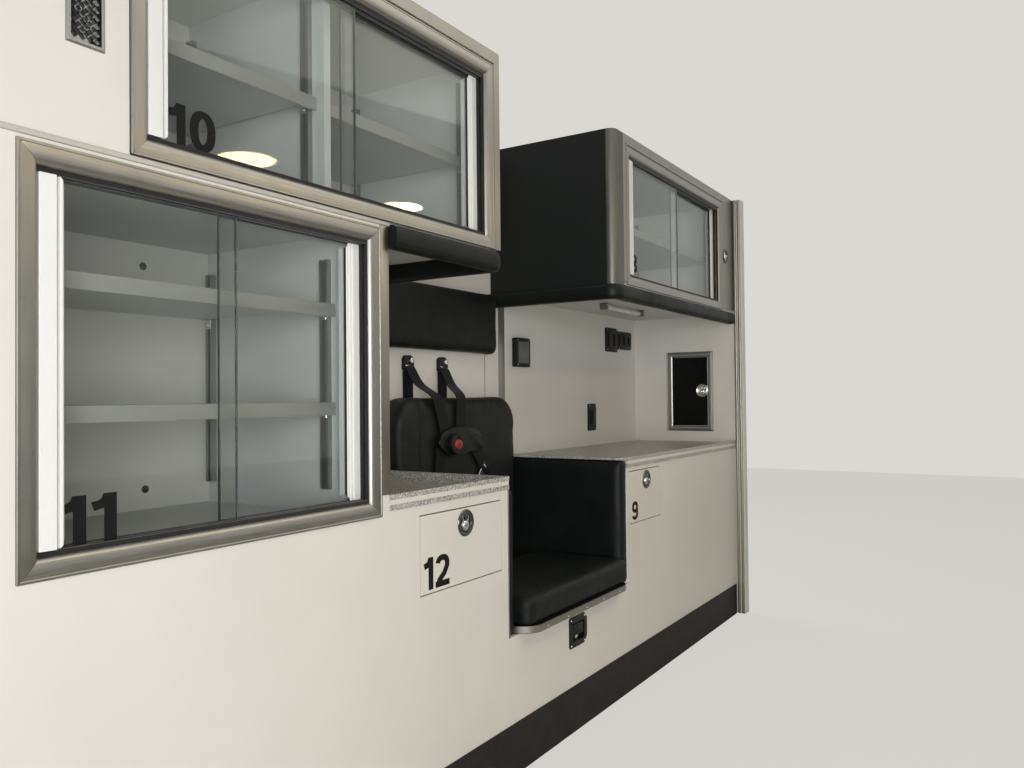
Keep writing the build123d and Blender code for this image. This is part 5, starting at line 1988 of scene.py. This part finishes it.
                    # Arm and wall plate: reach, then bottom and top, measured down from the shelf's top
                    for reach, base, cap in ((0.014, 0.0135, 0.0104), (0.002, 0.032, 0.0125)):
                        left, right = sorted((x, x + way * reach))
                        piece.block(
                            (left, y - 0.009, top - base), (right, y + 0.009, top - cap), 0.0006, steps=1,
                        )
                    piece.screw((x + way * 0.002, y, top - 0.024), (way, 0, 0), 0.0035)
            left, right = walls
            count = max(2, round((right - left) / 0.3))
            for number in range(count):
                x = left + 0.05 + number * (right - left - 0.10) / (count - 1)
                piece.screw((x, -0.1542, top - 0.020), (0, -1, 0), 0.0022)
            piece.done()

    def lip(self, name: str, walls: Point, top: float) -> None:
        """Builds the edging over a shelf's front lip.

        Args:
            name: The piece's name.
            walls: The x of the walls that the shelf runs between.
            top: The shelf's top.
        """
        piece = Piece(name, "root", "wall_laminate", (LIP_GREY,))
        low = (walls[0] + 0.0015, -0.1553, top - 0.0262)
        high = (walls[1] - 0.0015, -0.1541, top + 0.0004)
        piece.block(low, high, 0.0005)
        piece.done()

    def wall_screws(self) -> None:
        """Builds the washered screws in cabinet 11's back wall."""
        # The screws' dark chrome colour is a painted reflection.
        piece = Piece("wall_screws", "root", "polished_chrome", (CHROME_PAINTED_DARK,))
        for x, z in ((-1.009, 1.257), (-1.005, 0.776), (-1.30, 1.257), (-1.30, 0.776)):
            piece.screw((x, BACK, z), (0, -1, 0), 0.0085)
        piece.done()

    def wall_strips(self) -> None:
        """Builds the aluminium cover strip and the seam bead on the recess's back wall."""
        strip = Piece("wall_cover_strip", "root", "brushed_aluminium", (ALUMINIUM_Z, FELT))
        strip.block((0.389, BACK - 0.003, 0.768), (0.427, BACK, 1.3262), 0.001)
        strip.block((0.301, BACK - 0.0006, 0.968), (0.303, BACK, 1.112), 0.0, 1)
        strip.done()

    def build(self) -> None:
        """Builds all the fittings."""
        self.lamp()
        self.plates()
        self.seat_latch()
        self.pass_ring()
        self.trims()
        self.hinges()
        self.clips()
        self.wall_screws()
        self.wall_strips()


def dress_nodes() -> None:
    """Gives each CAD node that stays its real finish."""
    for finish, names in NODE_FINISH.items():
        material = finish.material()
        for node in (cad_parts[name] for name in names):
            if not node.material_slots:
                node.data.materials.append(material)
            for place in node.material_slots:
                place.material = material


@dataclass
class Studio:
    """The floor, the soft lamps, the pale surround and the camera."""

    focal_px: float = 833.686
    yaw: float = 32.2541
    pitch: float = 0.94934
    roll: float = -0.56479
    eye: Place = (-2.1035, -1.380, 0.965)
    width_px: int = 1024
    floor_half: float = 9.0
    pale: str = "#E4E2DD"
    pale_strength: float = 0.9
    daylight: str = "#F7F6F2"
    daylight_strength: float = 0.13
    downlights: Sequence[float] = (-0.94, -0.02, 0.90)

    def floor(self) -> None:
        """Builds the pale floor, which shows the camera mostly its own plain tone and keeps some shadow."""
        data = bpy.data.meshes.new("studio_floor")
        half = self.floor_half
        corners = [(-half, -half, 0), (half, -half, 0), (half, half, 0), (-half, half, 0)]
        data.from_pydata(corners, [], [(0, 1, 2, 3)])
        thing = bpy.data.objects.new("studio_floor", data)
        bpy.context.scene.collection.objects.link(thing)
        material = bpy.data.materials.new("studio_floor_paint")
        material.use_nodes = True
        tree = material.node_tree
        tree.nodes.clear()
        paint = add(tree, "ShaderNodeBsdfPrincipled", {"Base Color": linear(self.pale), "Roughness": 0.8})
        plain = add(tree, "ShaderNodeEmission", {"Color": linear(self.pale), "Strength": self.pale_strength})
        rays = add(tree, "ShaderNodeLightPath")
        share = add(tree, "ShaderNodeMath", {0: rays.outputs["Is Camera Ray"], 1: 0.85}, operation="MULTIPLY")
        mix = add(tree, "ShaderNodeMixShader", {
            "Fac": share.outputs["Value"], 1: paint.outputs[0], 2: plain.outputs[0],
        })
        add(tree, "ShaderNodeOutputMaterial", {"Surface": mix.outputs[0]})
        data.materials.append(material)

    def world(self) -> None:
        """Sets the pale surround, which lights softly and shows as a plain tone."""
        world = bpy.data.worlds.new("studio_world")
        bpy.context.scene.world = world
        world.use_nodes = True
        tree = world.node_tree
        tree.nodes.clear()
        rays = add(tree, "ShaderNodeLightPath")
        seen = add(tree, "ShaderNodeMath", {
            0: rays.outputs["Is Camera Ray"], 1: rays.outputs["Is Glossy Ray"],
        }, operation="MAXIMUM")
        shown = add(tree, "ShaderNodeMath", {
            0: seen.outputs["Value"], 1: rays.outputs["Is Transmission Ray"],
        }, operation="MAXIMUM")
        light = add(tree, "ShaderNodeBackground", {
            "Color": linear(self.daylight), "Strength": self.daylight_strength,
        })
        back = add(tree, "ShaderNodeBackground", {"Color": linear(self.pale), "Strength": self.pale_strength})
        mix = add(tree, "ShaderNodeMixShader", {
            "Fac": shown.outputs["Value"], 1: light.outputs[0], 2: back.outputs[0],
        })
        add(tree, "ShaderNodeOutputWorld", {"Surface": mix.outputs[0]})

    def lamp(self, name: str, spot: Place, target: Place, size: Point, power: float, colour: str) -> None:
        """Adds a soft lamp, rectangular or, where its sides are alike, round.

        Args:
            name: Its name.
            spot: Where it hangs.
            target: What it points at.
            size: Its width and height.
            power: Its power in watts.
            colour: Its colour.
        """
        data = bpy.data.lights.new(name, "AREA")
        data.shape = "ELLIPSE" if size[0] == size[1] else "RECTANGLE"
        data.size, data.size_y = size
        data.energy = power
        data.color = linear(colour)[:3]
        thing = bpy.data.objects.new(name, data)
        thing.location = spot
        way = Vector(target) - Vector(spot)
        thing.rotation_euler = way.to_track_quat("-Z", "Y").to_euler()
        thing.visible_camera = False
        bpy.context.scene.collection.objects.link(thing)

    def camera(self) -> None:
        """Sets the camera where the photograph was taken from."""
        yaw, pitch, roll = (math.radians(value) for value in (self.yaw, self.pitch, self.roll))
        ahead = Vector((math.cos(yaw) * math.cos(pitch), math.sin(yaw) * math.cos(pitch), math.sin(pitch)))
        right = Vector((math.sin(yaw), -math.cos(yaw), 0.0))
        up = right.cross(ahead)
        turned = right * math.cos(roll) + up * math.sin(roll)
        level = up * math.cos(roll) - right * math.sin(roll)
        data = bpy.data.cameras.new("photo_camera")
        data.sensor_width = 36.0
        data.lens = self.focal_px * data.sensor_width / self.width_px
        data.clip_start = 0.02
        thing = bpy.data.objects.new("photo_camera", data)
        basis = Matrix((turned, level, -ahead)).transposed().to_4x4()
        thing.matrix_world = Matrix.Translation(Vector(self.eye)) @ basis
        bpy.context.scene.collection.objects.link(thing)
        bpy.context.scene.camera = thing

    def build(self) -> None:
        """Sets up the studio."""
        bpy.context.scene.view_settings.view_transform = "Standard"
        self.floor()
        self.world()
        self.lamp("overhead", (0.5, -1.6, 2.9), (0.1, 0.0, 0.9), (2.6, 1.2), 10.0, "#FFF6E6")
        self.lamp("rear", (-3.1, -2.5, 1.05), (-0.6, 0.0, 0.95), (1.8, 1.5), 86.0, "#FBFBFF")
        self.lamp("behind", (2.6, 3.4, 2.0), (0.0, 0.25, 0.9), (2.5, 1.5), 110.0, "#FBFBFF")
        for number, x in enumerate(self.downlights):
            name = f"downlight_{number + 1}"
            self.lamp(name, (x, -1.52, 1.858), (x, -1.51, 0.0), (0.21, 0.21), 3.0, "#FFE3B4")
        self.camera()


def main() -> None:
    """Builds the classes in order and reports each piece."""
    logging.basicConfig(level=logging.INFO, format="%(message)s")
    dress_nodes()
    for name, body in (("11", "root"), ("10", "lift_10"), ("fore", "lift_fore")):
        Window(name, body).build()
    pane_face = FRONT + 13.5 * MM
    Numeral("11", "window_11_left", (-1.451, 0.760), (-1.366, 0.831), pane_face).build()
    Numeral("10", "window_10_left", (-1.277, 1.3765), (-1.187, 1.4445), pane_face).build()
    Numeral("8", "window_fore_left", (0.512, 1.390), (0.556, 1.452), pane_face).build()
    Numeral("12", "door_12", (-0.651, 0.540), (-0.558, 0.612), FRONT).build()
    Numeral("9", "door_9", (0.460, 0.552), (0.508, 0.614), FRONT).build()
    for node, body in (("latch_12", "door_12"), ("latch_9", "door_9"), ("post_lock", "root")):
        RoundLatch(node, body, (0, -1, 0)).build()
    RoundLatch("pass_latch", "pass_door", (-1, 0, 0), size=0.92, plating=CHROME).build()
    Upholstery().build()
    Harness().build()
    Fittings().build()
    Studio().build()


if __name__ == "__main__":
    main()
